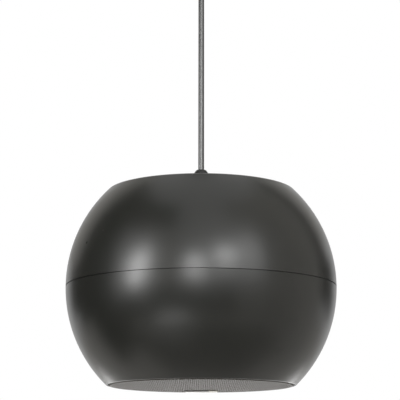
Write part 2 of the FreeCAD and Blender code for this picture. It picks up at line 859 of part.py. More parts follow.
def gland_dome_nut():
    """The clamping nut: hexagon below, rounded dome above, with the cord's outlet on top."""
    dome_low = nut_low + nut_hex_height
    base_radius = gland_across_flats / 2
    middle = ((base_radius + nut_top_radius) / 2 + nut_dome_bulge_out,
              (dome_low + cord_exit) / 2 + nut_dome_bulge_up)
    edges = [
        line((0, dome_low), (base_radius, dome_low)),
        arc((base_radius, dome_low), middle, (nut_top_radius, cord_exit)),
        line((nut_top_radius, cord_exit), (0, cord_exit)),
        line((0, cord_exit), (0, dome_low)),
    ]
    nut = joined(hexagon(gland_across_flats, nut_low, dome_low), [turned_edges(edges)])
    cavity_radius = gland_collar_radius + collar_clearance
    cavity_high = collar_high + seal_lip_length
    outlet = cord_radius + cord_clearance
    cavity = turned([(0, nut_low - weld), (cavity_radius, nut_low - weld), (cavity_radius, cavity_high),
                     (outlet, cavity_high + nut_cone_rise), (outlet, cord_exit + weld),
                     (0, cord_exit + weld)])
    return nut.cut(cavity)


def load_plate():
    """The steel plate under the flat top that spreads the weight."""
    return ring(load_plate_radius, gland_thread_radius + gland_hole_clearance,
                top_inside - load_plate_thickness, top_inside)


def gland_locknut():
    """The nut that clamps the gland and the load plate to the top."""
    high = top_inside - load_plate_thickness
    nut = hexagon(locknut_across_flats, high - locknut_height, high)
    return nut.cut(rod(gland_thread_radius + thread_clearance, high - locknut_height - weld, high + weld))


def cord_stop():
    """The crimped sleeve on the cord that carries the ball from below the gland."""
    return ring(cord_stop_radius, cord_radius + cord_clearance / 2, stop_low, gland_tail)


def inner_cord():
    """The cord's last stretch: through the gland and round a spare loop to the terminal block."""
    loop_low = (stop_low + yoke_high) / 2
    entry_y = block_y + block_entry_step
    return bent_tube([(0, 0, cord_exit), (0, 0, loop_low), (block_entry_x, entry_y, loop_low),
                      (block_entry_x, entry_y, block_low)], cord_radius, cord_exit - stop_low)


def terminal_block():
    """A screw terminal block with one well for each pole."""
    body = block(block_length, block_width, block_low, pad_face, 0, block_y)
    cuts = [rod(ear_screw_radius + sheet_hole_clearance, block_low - weld, pad_face + weld, 0, block_y)]
    pole_step = block_length / block_pole_count
    for k in range(block_pole_count):
        x = (k - (block_pole_count - 1) / 2) * pole_step
        for side in (-1, 1):
            y = block_y + side * (block_width - block_slot_depth) / 2
            if side == 1 and abs(x - block_entry_x) < pole_step:
                continue
            cuts.append(block(block_slot_width, block_slot_depth, block_low - weld,
                              block_low + block_slot_depth, x, y))
    return body.cut(Part.makeCompound(cuts))


def terminal_screw():
    """The screw that holds the terminal block to its pad."""
    return screw(ear_screw_head_radius, screw_head_height, ear_screw_radius,
                 block_height + ear_screw_length, block_low, 0, block_y)


def transformer_core():
    """The stack of steel laminations, with its two windows."""
    core = block(core_width, core_stack, core_low, pad_face, 0, transformer_y)
    windows = []
    for side in (-1, 1):
        x = side * (limb_width + window_width) / 2
        windows.append(block(window_width, core_stack + 2 * weld, winding_middle - window_height / 2,
                             winding_middle + window_height / 2, x, transformer_y))
    return core.cut(Part.makeCompound(windows))


def transformer_winding():
    """The taped winding round the middle limb."""
    middle = winding_middle
    half = window_height / 2 - winding_clearance
    width = limb_width + 2 * window_width - 2 * winding_clearance
    depth = core_stack + 2 * winding_bulge
    winding = block(width, depth, middle - half, middle + half, 0, transformer_y)
    upright = [e for e in winding.Edges if e.BoundBox.ZLength > half]
    winding = winding.makeFillet(winding_corner_radius, upright)
    limb = block(limb_width + 2 * winding_clearance, core_stack + 2 * winding_clearance,
                 middle - half - weld, middle + half + weld, 0, transformer_y)
    return winding.cut(limb)


def transformer_bracket():
    """The steel strap round the core, with an ear at each side."""
    reach = core_width / 2 + bracket_sheet
    outer = block(2 * reach, core_stack, core_low - bracket_sheet, pad_face, 0, transformer_y)
    strap = outer.cut(block(core_width, core_stack + 2 * weld, core_low, pad_face + weld, 0, transformer_y))
    ears = []
    for side in (-1, 1):
        x = side * (reach + ear_length / 2 - bracket_sheet / 2)
        ears.append(block(ear_length + bracket_sheet, core_stack, pad_face - bracket_sheet, pad_face,
                          x, transformer_y))
    strap = joined(strap, ears)
    low = pad_face - bracket_sheet - weld
    holes = [rod(ear_screw_radius + sheet_hole_clearance, low, pad_face + weld, spot.x, spot.y)
             for spot in ear_spots()]
    return strap.cut(Part.makeCompound(holes))


def transformer_screws():
    """The two screws that hold the bracket to its pads."""
    return Part.makeCompound([
        screw(ear_screw_head_radius, screw_head_height, ear_screw_radius, ear_screw_length,
              pad_face - bracket_sheet, spot.x, spot.y)
        for spot in ear_spots()])


def pair_of_wires(points):
    """Two wires side by side along the same route."""
    wires = []
    for side in (-0.5, 0.5):
        wires.append(bent_tube([(x + side * wire_spacing, y, z) for x, y, z in points], wire_radius))
    return Part.makeCompound(wires)


def transformer_leads():
    """The pair of wires from the terminal block to the transformer."""
    winding_y = transformer_y - core_stack / 2 - winding_bulge
    span = winding_y - block_y
    x = transformer_leads_x
    low = block_low - wire_drop
    first, second, third = [block_y + share * span for share in transformer_lead_shares]
    return pair_of_wires([
        (x, block_y, block_low), (x, block_y, low), (x, first, low - transformer_lead_dip * wire_sway),
        (x, second, low - wire_sway), (x, third, winding_middle), (x, winding_y, winding_middle)])


def driver_leads():
    """The pair of wires from the transformer down to the driver's tags."""
    start_y = transformer_y + core_stack / 2 + winding_bulge / 2
    winding_low = winding_middle - window_height / 2 + winding_clearance
    drop = winding_low - tag_high
    first, second, third, fourth = [tag_high + share * drop for share in driver_lead_heights]
    return pair_of_wires([
        (0, start_y, winding_low), (0, start_y, first), (0, start_y + wire_sway, second),
        (0, start_y - wire_sway, third), (0, tag_y + wire_sway, fourth), (0, tag_y, tag_high)])


def ceiling_cup():
    """The moulded cup that covers the ceiling joint, open at the top."""
    slant = math.sqrt(0.5)
    inner = cup_radius - cup_wall
    inner_rounding = cup_rounding - cup_wall
    floor = cup_floor + cup_wall
    hole = grip_thread_radius + sheet_hole_clearance
    bend_r = cup_radius - cup_rounding
    bend_z = cup_floor + cup_rounding
    edges = [
        line((hole, cup_floor), (bend_r, cup_floor)),
        arc((bend_r, cup_floor), (bend_r + cup_rounding * slant, bend_z - cup_rounding * slant),
            (cup_radius, bend_z)),
        line((cup_radius, bend_z), (cup_radius, 0)),
        line((cup_radius, 0), (inner, 0)),
        line((inner, 0), (inner, bend_z)),
        arc((inner, bend_z), (bend_r + inner_rounding * slant, bend_z - inner_rounding * slant),
            (bend_r, floor)),
        line((bend_r, floor), (hole, floor)),
        line((hole, floor), (hole, cup_floor)),
    ]
    bore = Part.makeCylinder(cup_screw_radius + sheet_hole_clearance, 2 * (cup_radius + weld),
                             Vector(-cup_radius - weld, 0, -cup_screw_height), Vector(1, 0, 0))
    return turned_edges(edges).cut(bore)


def ceiling_bracket():
    """The steel bar that is screwed to the ceiling, with two legs that hold the cup."""
    reach = cup_radius - cup_wall - bracket_leg_gap
    outer = block(2 * reach, bracket_width, -bracket_leg_height, 0)
    inner = block(2 * (reach - bracket_steel), bracket_width + 2 * weld,
                  -bracket_leg_height - weld, -bracket_steel)
    bar = outer.cut(inner)
    holes = [rod(ceiling_screw_hole_radius, -bracket_steel - weld, weld, side * ceiling_screw_spacing / 2, 0)
             for side in (-1, 1)]
    holes.append(Part.makeCylinder(cup_screw_radius + thread_clearance, 2 * cup_radius,
                                   Vector(-cup_radius, 0, -cup_screw_height), Vector(1, 0, 0)))
    return bar.cut(Part.makeCompound(holes))


def cup_screws():
    """The two screws that hold the cup to the bracket's legs."""
    length = cup_wall + bracket_leg_gap + bracket_steel + cup_screw_spare
    screws = []
    for angle in (0, 180):
        piece = screw(cup_screw_head_radius, cup_screw_head_height, cup_screw_radius, length, 0)
        piece.rotate(ORIGIN, Vector(0, 1, 0), -90)
        piece.translate(Vector(cup_radius, 0, -cup_screw_height))
        piece.rotate(ORIGIN, UP, angle)
        screws.append(piece)
    return Part.makeCompound(screws)


def ceiling_grip():
    """The tapered cord grip under the cup, with its threaded tail through the cup's floor."""
    tail = cup_floor + grip_thread_length
    bore = cord_radius + cord_clearance / 2
    return turned([(bore, grip_tip), (grip_tip_radius, grip_tip),
                   (grip_top_radius, cup_floor - grip_shoulder),
                   (grip_top_radius, cup_floor), (grip_thread_radius, cup_floor),
                   (grip_thread_radius, tail), (bore, tail)])


def ceiling_grip_nut():
    """The nut inside the cup that clamps the grip to its floor."""
    low = cup_floor + cup_wall
    nut = hexagon(grip_nut_across_flats, low, low + grip_nut_height)
    return nut.cut(rod(grip_thread_radius + thread_clearance, low - weld, low + grip_nut_height + weld))


def ceiling_cord_stop():
    """The crimped sleeve that rests on the grip's tail and carries the cord."""
    low = cup_floor + grip_thread_length
    return ring(ceiling_stop_radius, cord_radius + cord_clearance / 2, low, low + ceiling_stop_length)


def ceiling_terminal():
    """The two-pole terminal block under the bracket, where the house line is joined."""
    low = -bracket_steel - ceiling_block_height
    body = block(ceiling_block_length, ceiling_block_width, low, -bracket_steel)
    slot_y = (ceiling_block_width - ceiling_slot_width) / 2
    slots = [block(ceiling_slot_length, ceiling_slot_width, low - weld, low + ceiling_slot_depth,
                   side * ceiling_slot_spacing / 2, slot_y)
             for side in (-1, 1)]
    return body.cut(Part.makeCompound(slots))


def cord():
    """The free cord, pulled straight by the ball's weight."""
    return rod(cord_radius, cord_exit - hang_drop, grip_tip)


def ceiling_tail():
    """The cord's end inside the grip and the cup."""
    return rod(cord_radius, grip_tip, -bracket_steel - ceiling_block_height)


hung_pieces = [
    upper_shell, lower_shell, housing_screws, grille, grille_cloth, badge_plate,
    driver_basket, driver_gasket, driver_front_ring, driver_screws, driver_terminals,
    motor_front_plate, motor_magnet, motor_yoke, motor_rivets,
    coil_former, coil_winding, cone, whizzer_cone, dust_cap, surround, spider,
    gland_washer, gland_body, gland_seal, gland_dome_nut, gland_locknut, load_plate, cord_stop,
    inner_cord, terminal_block, terminal_screw,
    transformer_core, transformer_winding, transformer_bracket, transformer_screws,
    transformer_leads, driver_leads,
]
ceiling_pieces = [
    cord, ceiling_cup, ceiling_bracket, cup_screws, ceiling_grip, ceiling_grip_nut,
    ceiling_cord_stop, ceiling_tail, ceiling_terminal,
]

os.makedirs("parts", exist_ok=True)
for make in hung_pieces + ceiling_pieces:
    piece = make()
    if make in hung_pieces:
        piece.translate(Vector(0, 0, -hang_drop))
    print(f"{make.__name__}: {piece.Volume / 1000:.2f} cm3, solids {len(piece.Solids)}")
    piece.exportStep(f"parts/{make.__name__}.step")
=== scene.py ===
# %% [markdown]
# # A ball-shaped pendant loudspeaker
# The real thing is a moulded ball that hangs on its own cord from a cup on the ceiling. Its construction
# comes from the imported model, which is loaded first and never moved. This script sets up the studio, gives
# every surface its finish, and makes six things in finer detail: the cord, the perforated grille, the cloth
# behind it, the two springy rings and the cup's screws. Lengths are in metres, and MM turns a size in
# millimetres into metres.

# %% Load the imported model
import json
import math

import bmesh
import bpy
from mathutils import Matrix, Quaternion, Vector


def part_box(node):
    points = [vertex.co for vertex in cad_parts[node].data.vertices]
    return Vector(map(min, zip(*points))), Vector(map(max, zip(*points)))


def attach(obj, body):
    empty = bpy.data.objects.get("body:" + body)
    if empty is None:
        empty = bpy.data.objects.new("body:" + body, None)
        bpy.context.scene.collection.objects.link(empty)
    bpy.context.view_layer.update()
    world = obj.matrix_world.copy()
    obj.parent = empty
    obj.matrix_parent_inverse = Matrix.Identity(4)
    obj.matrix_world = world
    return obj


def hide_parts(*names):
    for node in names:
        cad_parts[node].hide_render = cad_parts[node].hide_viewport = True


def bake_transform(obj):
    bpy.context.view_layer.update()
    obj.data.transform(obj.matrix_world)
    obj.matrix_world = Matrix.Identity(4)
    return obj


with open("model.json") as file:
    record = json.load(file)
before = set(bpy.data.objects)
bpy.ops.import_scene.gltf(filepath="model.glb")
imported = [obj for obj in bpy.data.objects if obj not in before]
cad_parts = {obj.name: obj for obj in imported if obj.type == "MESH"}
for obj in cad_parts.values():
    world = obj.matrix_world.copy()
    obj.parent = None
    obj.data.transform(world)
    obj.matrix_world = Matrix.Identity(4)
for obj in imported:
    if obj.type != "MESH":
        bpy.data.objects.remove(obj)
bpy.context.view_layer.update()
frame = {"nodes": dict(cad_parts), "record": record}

MM = 0.001
nodes = frame["nodes"]
print("nodes in the model:", len(nodes))

# %% [markdown]
# ## Places that the model gives
# Nothing here is fitted by eye against the model. The ball's middle lies at the height of the seam, which is
# the top of the lower shell, and its radius is half the width of the upper one.

# %% Read the places
shell_low, shell_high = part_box("upper_shell")
seam_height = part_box("lower_shell")[1].z
ball_radius = (shell_high.x - shell_low.x) / 2
ball_middle = Vector((0, 0, seam_height))
print("ball radius", round(ball_radius, 4), "middle", tuple(round(v, 4) for v in ball_middle))

# %% [markdown]
# ## Camera
# A long lens from a little below the ball, as in a catalogue. A long lens keeps the ball round and makes
# the mouth underneath show as a thin ellipse. The tiny roll is the real picture's own. A small helper puts a
# new object into the scene, here and wherever something is made.


# %% Set the camera
def placed(name, data):
    """A new object in the scene."""
    thing = bpy.data.objects.new(name, data)
    bpy.context.scene.collection.objects.link(thing)
    return thing


camera_offset = Vector((-1.13 * MM, -1481.3 * MM, -201.5 * MM))
camera_tilt = math.radians(10.987)
camera_roll = math.radians(0.05)
camera_data = bpy.data.cameras.new("camera")
camera_data.lens = 139.6
camera_data.sensor_width = 36.0
camera = placed("camera", camera_data)
turn = Matrix.Rotation(math.pi / 2 + camera_tilt, 4, "X") @ Matrix.Rotation(camera_roll, 4, "Z")
camera.matrix_world = Matrix.Translation(ball_middle + camera_offset) @ turn
bpy.context.scene.camera = camera
bpy.context.scene.view_settings.view_transform = "Standard"

# %% [markdown]
# ## Two small helpers
# Colours are chosen as sRGB hex values, the way a paint chart gives them, and shaders want linear numbers.
# One function adds a node with its settings and its inputs: an input is a plain value, a socket, or a node
# whose first output is meant.


# %% Colour and node helpers
def linear(code, alpha=1.0):
    """The linear colour of an sRGB hex code."""
    values = [int(code[i:i + 2], 16) / 255 for i in (1, 3, 5)]
    return tuple(v / 12.92 if v < 0.04045 else ((v + 0.055) / 1.055) ** 2.4 for v in values) + (alpha,)


def add(tree, kind, inputs=None, **settings):
    """Adds a node. Settings are its properties. Inputs are values, nodes, sockets or lists of these."""
    node = tree.nodes.new(kind)
    for name, value in settings.items():
        setattr(node, name, value)
    for name, value in (inputs or {}).items():
        sources = value if isinstance(value, list) else [value]
        for source in sources:
            if isinstance(source, bpy.types.Node):
                source = source.outputs[0]
            if isinstance(source, bpy.types.NodeSocket):
                tree.links.new(source, node.inputs[name])
            else:
                node.inputs[name].default_value = source
    return node


# %% [markdown]
# ## Studio
# The background is white for the camera and for reflections, but gives the object less light than that:
# Light Path tells the rays apart. The floor is far below, because the speaker hangs high. It is painted a
# pale warm white, with the faint mottle that a roller leaves.

# %% World and floor
world = bpy.data.worlds.new("studio")
bpy.context.scene.world = world
world.use_nodes = True
world.node_tree.nodes.clear()
tree = world.node_tree
object_light = 0.7
backdrop_light = 1.0
rays = add(tree, "ShaderNodeLightPath").outputs
seen = add(tree, "ShaderNodeMath", {0: rays["Is Camera Ray"], 1: rays["Is Glossy Ray"]}, operation="MAXIMUM")
seen = add(tree, "ShaderNodeMath", {0: seen, 1: rays["Is Transmission Ray"]}, operation="MAXIMUM")
around = add(tree, "ShaderNodeBackground", {"Color": linear("#ffffff"), "Strength": object_light})
white = add(tree, "ShaderNodeBackground", {"Color": linear("#ffffff"), "Strength": backdrop_light})
both = add(tree, "ShaderNodeMixShader", {0: seen, 1: around, 2: white})
add(tree, "ShaderNodeOutputWorld", {"Surface": both})


def studio_thing(name, corners, faces, low_tone, high_tone, mottle):
    """A painted surface of the studio, with two tones in patches of the mottle's size."""
    mesh = bpy.data.meshes.new(name)
    mesh.from_pydata(corners, [], faces)
    paint = bpy.data.materials.new(name + "_paint")
    paint.use_nodes = True
    paint.node_tree.nodes.clear()
    tree = paint.node_tree
    place = add(tree, "ShaderNodeTexCoord").outputs["Object"]
    patches = add(tree, "ShaderNodeTexNoise", {"Vector": place, "Scale": 1 / mottle, "Detail": 2.0})
    shade = add(tree, "ShaderNodeMix", {"Factor": patches, "A": linear(low_tone), "B": linear(high_tone)},
                data_type="RGBA")
    skin = add(tree, "ShaderNodeBsdfPrincipled", {"Base Color": shade.outputs["Result"], "Roughness": 0.8})
    add(tree, "ShaderNodeOutputMaterial", {"Surface": skin})
    mesh.materials.append(paint)
    thing = placed(name, mesh)
    return thing


floor_height = -2.4
floor_reach = 12.0
roller_mottle = 60 * MM
floor_signs = ((-1, -1), (1, -1), (1, 1), (-1, 1))
floor_corners = [(x * floor_reach, y * floor_reach, floor_height) for x, y in floor_signs]
studio_thing("floor", floor_corners, [(0, 1, 2, 3)], "#efece6", "#f3f0ea", roller_mottle)

# %% [markdown]
# The lamps are soft boxes on stands. Each is given by the direction in which it stands: degrees to the right
# of the camera and degrees up, both seen from the ball. Its glow says how much brighter than white paper its
# cloth is, and a lean turns its top to the right. The satin plastic mirrors the studio, so its dark parts
# come from cards behind the lamps: black velvet, and three tones of board, which are all darker than the
# backdrop. They take no light from the ball, because only reflections see them.


# %% Lamps and cards
white_power = 4
card_mottle = 40 * MM


def toward(azimuth, elevation):
    """The direction of a place in the studio, seen from the ball."""
    a = math.radians(azimuth)
    e = math.radians(elevation)
    return Vector((math.sin(a) * math.cos(e), -math.cos(a) * math.cos(e), math.sin(e)))


def softbox(name, azimuth, elevation, width, height, glow, lean=0, distance=3.5):
    """A soft oval lamp that faces the ball. White power makes a square metre of it as bright as white."""
    lamp = bpy.data.lights.new(name, "AREA")
    lamp.shape = "ELLIPSE"
    lamp.size = width
    lamp.size_y = height
    lamp.energy = white_power * glow * math.pi / 4 * width * height
    way = toward(azimuth, elevation)
    leaning = Quaternion((0, 0, 1), math.radians(-lean))
    lamp_object = placed(name, lamp)
    lamp_object.location = ball_middle + way * distance
    lamp_object.rotation_mode = "QUATERNION"
    lamp_object.rotation_quaternion = way.to_track_quat("Z", "Y") @ leaning
    lamp_object.visible_camera = False


def card(name, left, right, low, high, tones, distance=2.8):
    """A curved card from one azimuth to another and from one elevation to another."""
    across = 12
    up = 6
    corners = []
    for j in range(up + 1):
        for i in range(across + 1):
            way = toward(left + (right - left) * i / across, low + (high - low) * j / up)
            corners.append(ball_middle + way * distance)
    row = across + 1
    firsts = [j * row + i for j in range(up) for i in range(across)]
    faces = [(k, k + 1, k + 1 + row, k + row) for k in firsts]
    thing = studio_thing(name, corners, faces, *tones, card_mottle)
    thing.visible_camera = False
    thing.visible_diffuse = False
    thing.visible_shadow = False
    return thing


softbox("box_left", -53, 10, 0.70, 1.60, 12.5, lean=20)
softbox("box_left_wide", -52, 11, 1.50, 2.20, 2.6, lean=20)
softbox("box_front", -5, 10, 0.95, 1.10, 11.0)
softbox("box_right", 20, 18, 1.05, 0.95, 10.0)
softbox("box_high", 43, 20, 1.70, 1.80, 2.4)
softbox("box_low", -26, -33, 1.00, 0.65, 1.7, distance=2.0)
softbox("box_behind", 180, -40, 0.50, 0.16, 2.0, distance=0.34)
softbox("box_behind_low", 180, -24, 4.60, 1.00, 1.6)

velvet = ("#060606", "#0a0a0a")
white_board = ("#d6d4d0", "#dcdad6")
pale_board = ("#c9c7c3", "#cfcdc9")
grey_board = ("#b4b2ae", "#bab8b4")
card("card_left", -126, -76, -12, 62, velvet)
card("card_left_low", -108, -68, -44, -12, velvet)
card("card_upper_left", -76, -26, 38, 60, velvet)
card("card_low", -68, 30, -27, -5, velvet)
card("card_right", 117, 134, -2, 60, velvet)
card("card_right_far", 134, 143, -4, 14, velvet)
card("card_left_far", -140, -126, -4, 12, velvet)
card("card_behind", 171, 189, -30, 3, velvet)
card("board_high", 30, 117, 46, 62, pale_board)
card("board_right", 52, 117, -42, 46, pale_board)
card("board_between", -40, -16, -5, 34, white_board)
card("board_left", -155, -126, 12, 62, pale_board)
card("board_right_far", 136, 155, 18, 62, white_board)
card("board_under", -70, 90, -80, -34, grey_board, distance=1.9)

# %% [markdown]
# One more card is a flag. It stands below and in front of the ball, and it does the opposite of the others:
# reflections don't see it, but it keeps the light off the grille's near edge and out of its holes, which are
# dark in the picture.

# %% The flag
flag = card("flag", -85, 85, -80, -4, velvet, distance=1.6)
flag.visible_glossy = False
flag.visible_diffuse = True

# %% [markdown]
# ## Finishes
# Each finish is named for what the surface is and how it was made. Its patterns are worked out from sizes in
# millimetres on Object coordinates, so they stay fixed to the piece. A finish starts empty, gets its own
# patterns, and ends with the shader, whose plain numbers are set on its own sockets.


# %% The start and the end of a finish
materials = {}


def start(slot, name):
    """A new empty material for a slot, its node tree, and the object coordinates that its patterns read."""
    material = bpy.data.materials.new(name)
    material.use_nodes = True
    material.node_tree.nodes.clear()
    materials[slot] = material
    tree = material.node_tree
    return tree, add(tree, "ShaderNodeTexCoord").outputs["Object"]


def end(tree, **inputs):
    """Adds the shader and the output. An input's name has _ for a blank."""
    named = {name.replace("_", " "): value for name, value in inputs.items()}
    shader = add(tree, "ShaderNodeBsdfPrincipled", named)
    add(tree, "ShaderNodeOutputMaterial", {"Surface": shader.outputs[0]})


# %% [markdown]
# **Moulded ABS** makes the ball and the ceiling cup. The mould was spark-eroded to a fine satin, which blurs
# reflections, and a large moulding cools a little unevenly, which gives the gloss long soft waves. The paint
# chart colour is a charcoal with a trace of green. Two specks of dust sit on the left of the ball, as they do
# on the real one. A speck is a soft spot round a point, with a reach in millimetres, a tone and a roughness.

# %% Moulded ABS
tree, place = start("shell_abs", "moulded_abs")
waves = add(tree, "ShaderNodeTexNoise", {"Vector": place, "Scale": 1 / (38 * MM), "Detail": 1.0})
grain = add(tree, "ShaderNodeTexNoise", {"Vector": place, "Scale": 1 / (0.8 * MM), "Detail": 2.0})
gloss = add(tree, "ShaderNodeMapRange", {"Value": waves.outputs["Fac"], "From Min": 0.3, "From Max": 0.7,
                                         "To Min": 0.31, "To Max": 0.33})
shade = add(tree, "ShaderNodeMix", {"Factor": waves.outputs["Fac"], "A": linear("#1a1b18"),
                                    "B": linear("#1d1d1a")}, data_type="RGBA")
colour = shade.outputs["Result"]
dullness = gloss
specks = (((-105.7, -68.2, 32.8), 1.5, "#080807", 0.85), ((-89.6, -84.5, 41.5), 1.0, "#3a3a36", 0.34))
for speck, reach, tone, matte in specks:
    centre = ball_middle + Vector(speck) * MM
    apart = add(tree, "ShaderNodeVectorMath", {0: place, 1: centre}, operation="DISTANCE")
    spot = add(tree, "ShaderNodeMapRange", {"Value": apart.outputs["Value"], "From Min": 0.5 * reach * MM,
                                            "From Max": reach * MM, "To Min": 1.0, "To Max": 0.0})
    mixed = add(tree, "ShaderNodeMix", {"Factor": spot.outputs[0], "A": colour, "B": linear(tone)},
                data_type="RGBA")
    colour = mixed.outputs["Result"]
    dullness = add(tree, "ShaderNodeMix", {"Factor": spot, "A": dullness, "B": matte})
bump = add(tree, "ShaderNodeBump", {"Height": grain.outputs["Fac"], "Strength": 0.25, "Distance": 0.01 * MM})
end(tree, Base_Color=colour, Roughness=dullness, Normal=bump.outputs[0])

# %% [markdown]
# **Glossy flexible PVC** covers the cord. It is extruded, so its skin is smooth across and very slightly wavy
# along. **Moulded nylon** makes the gland and the cord grip: blacker and a little duller than the ball.

# %% Flexible PVC and moulded nylon
tree, place = start("cord_pvc", "flexible_pvc")
along = add(tree, "ShaderNodeMapping", {"Vector": place, "Scale": (1.0, 1.0, 0.15)})
waves = add(tree, "ShaderNodeTexNoise", {"Vector": along, "Scale": 1 / (4 * MM), "Detail": 1.0})
bump = add(tree, "ShaderNodeBump", {"Height": waves, "Strength": 0.15, "Distance": 0.01 * MM})
gloss = add(tree, "ShaderNodeMapRange", {"Value": waves, "To Min": 0.22, "To Max": 0.28})
end(tree, Base_Color=linear("#1a1a19"), Roughness=gloss, Specular_IOR_Level=0.75, Normal=bump)

tree, place = start("gland_nylon", "moulded_nylon")
grain = add(tree, "ShaderNodeTexNoise", {"Vector": place, "Scale": 1 / (0.5 * MM), "Detail": 2.0})
bump = add(tree, "ShaderNodeBump", {"Height": grain.outputs["Fac"], "Strength": 0.3, "Distance": 0.02 * MM})
gloss = add(tree, "ShaderNodeMapRange", {"Value": grain.outputs["Fac"], "To Min": 0.36, "To Max": 0.46})
end(tree, Base_Color=linear("#1c1c1b"), Roughness=gloss.outputs[0], Specular_IOR_Level=0.4,
    Normal=bump.outputs[0])

# %% [markdown]
# **Powder coat** covers the grille: paint powder melted on, which leaves a fine pebbled skin of about a
# millimetre's spacing. Its colour is a warm brown-grey. **Black coated steel** on the driver's basket is
# thinner and smoother. **Zinc plate** on screws and brackets is a pale blue-white metal whose crystals show
# as faint patches.

# %% Powder coat, black coat and zinc plate
tree, place = start("grille_steel", "powder_coat")
pebbles = add(tree, "ShaderNodeTexVoronoi", {"Vector": place, "Scale": 1 / (0.9 * MM)},
              feature="SMOOTH_F1")
bump = add(tree, "ShaderNodeBump", {"Height": pebbles.outputs["Distance"], "Strength": 0.3,
                                    "Distance": 0.04 * MM})
shade = add(tree, "ShaderNodeMix", {"Factor": pebbles.outputs["Distance"], "A": linear("#3b362f"),
                                    "B": linear("#464038")}, data_type="RGBA")
end(tree, Base_Color=shade.outputs["Result"], Roughness=0.6, Specular_IOR_Level=0.35, Normal=bump.outputs[0])

tree, place = start("black_steel", "black_coated_steel")
pebbles = add(tree, "ShaderNodeTexNoise", {"Vector": place, "Scale": 1 / (0.7 * MM), "Detail": 2.0})
bump = add(tree, "ShaderNodeBump", {"Height": pebbles.outputs["Fac"], "Strength": 0.3, "Distance": 0.03 * MM})
gloss = add(tree, "ShaderNodeMapRange", {"Value": pebbles.outputs["Fac"], "To Min": 0.3, "To Max": 0.42})
end(tree, Base_Color=linear("#191919"), Roughness=gloss.outputs[0], Normal=bump.outputs[0])

tree, place = start("zinc_steel", "zinc_plated_steel")
crystals = add(tree, "ShaderNodeTexVoronoi", {"Vector": place, "Scale": 1 / (1.6 * MM)})
gloss = add(tree, "ShaderNodeMapRange", {"Value": crystals.outputs["Distance"], "To Min": 0.3,
                                         "To Max": 0.42})
shade = add(tree, "ShaderNodeMix", {"Factor": crystals.outputs["Color"], "A": linear("#b9bbbb"),
                                    "B": linear("#cdcfd0")}, data_type="RGBA")
end(tree, Base_Color=shade.outputs["Result"], Metallic=1.0, Roughness=gloss.outputs[0])

# %% [markdown]
# **Acoustic cloth** behind the grille is an open plain weave. Its threads are 0.4 mm apart, and two crossed
# waves give them: each is highest where its own thread runs on top, which is at every second thread.
# **Anodised aluminium** is the badge: its field is dark and its right end is paler, and it carries nothing.
# Both tones are fields across the plate.


# %% Acoustic cloth and anodised aluminium
def wave_scale(spacing):
    """The scale at which the wave texture repeats after a spacing."""
    return math.pi / 10 / spacing


def weave(tree, place, repeat):
    """A plain weave of two crossed waves."""
    threads = []
    for direction in ("X", "Y"):
        wave = add(tree, "ShaderNodeTexWave", {"Vector": place, "Scale": wave_scale(repeat)},
                   bands_direction=direction)
        threads.append(wave.outputs["Fac"])
    return add(tree, "ShaderNodeMath", {0: threads[0], 1: threads[1]}, operation="MAXIMUM")


tree, place = start("grille_cloth", "acoustic_cloth")
crossed = weave(tree, place, 0.8 * MM)
bump = add(tree, "ShaderNodeBump", {"Height": crossed.outputs[0], "Strength": 0.8, "Distance": 0.1 * MM})
shade = add(tree, "ShaderNodeMix", {"Factor": crossed.outputs[0], "A": linear("#060606"),
                                    "B": linear("#161616")}, data_type="RGBA")
end(tree, Base_Color=shade.outputs["Result"], Roughness=0.9, Sheen_Weight=0.2, Normal=bump.outputs[0])

badge_low, badge_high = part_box("badge_plate")
badge_middle = (badge_low + badge_high) / 2
badge_turn = math.radians(-10)
pale_end_start = 8.5 * MM
tree, place = start("badge_aluminium", "anodised_aluminium")
own = add(tree, "ShaderNodeMapping", {"Vector": place, "Location": badge_middle,
                                      "Rotation": (0, 0, badge_turn)}, vector_type="TEXTURE")
axes = add(tree, "ShaderNodeSeparateXYZ", {"Vector": own.outputs[0]})
pale = add(tree, "ShaderNodeMath", {0: axes.outputs["X"], 1: pale_end_start}, operation="GREATER_THAN")
brushed = add(tree, "ShaderNodeMapping", {"Vector": own.outputs[0], "Scale": (0.03, 1.0, 1.0)})
lines = add(tree, "ShaderNodeTexNoise", {"Vector": brushed.outputs[0], "Scale": 1 / (0.25 * MM),
                                         "Detail": 2.0})
dark = add(tree, "ShaderNodeMix", {"Factor": lines.outputs["Fac"], "A": linear("#b6b5b4"),
                                   "B": linear("#c2c1c0")}, data_type="RGBA")
shade = add(tree, "ShaderNodeMix", {"Factor": pale.outputs[0], "A": dark.outputs["Result"],
                                    "B": linear("#e8e5dc")}, data_type="RGBA")
bump = add(tree, "ShaderNodeBump", {"Height": lines.outputs["Fac"], "Strength": 0.2, "Distance": 0.02 * MM})
end(tree, Base_Color=shade.outputs["Result"], Metallic=0.8, Roughness=0.38, Normal=bump.outputs[0])

# %% [markdown]
# ## Finishes inside the ball
# The driver and the transformer can't be seen through the grille, but they are dressed as carefully, because
# the pieces can be taken apart. **Rubber** is matte and slightly mottled, **pressed card** and **paper pulp**
# show fibres a few millimetres long, and **fibre board** is brown resin with paper in it.

# %% Rubber, card, pulp and board
tree, place = start("black_rubber", "moulded_rubber")
mottle = add(tree, "ShaderNodeTexNoise", {"Vector": place, "Scale": 1 / (4 * MM), "Detail": 3.0})
shade = add(tree, "ShaderNodeMix", {"Factor": mottle.outputs["Fac"], "A": linear("#161616"),
                                    "B": linear("#202020")}, data_type="RGBA")
bump = add(tree, "ShaderNodeBump", {"Height": mottle.outputs["Fac"], "Strength": 0.2, "Distance": 0.05 * MM})
end(tree, Base_Color=shade.outputs["Result"], Roughness=0.68, Normal=bump.outputs[0])

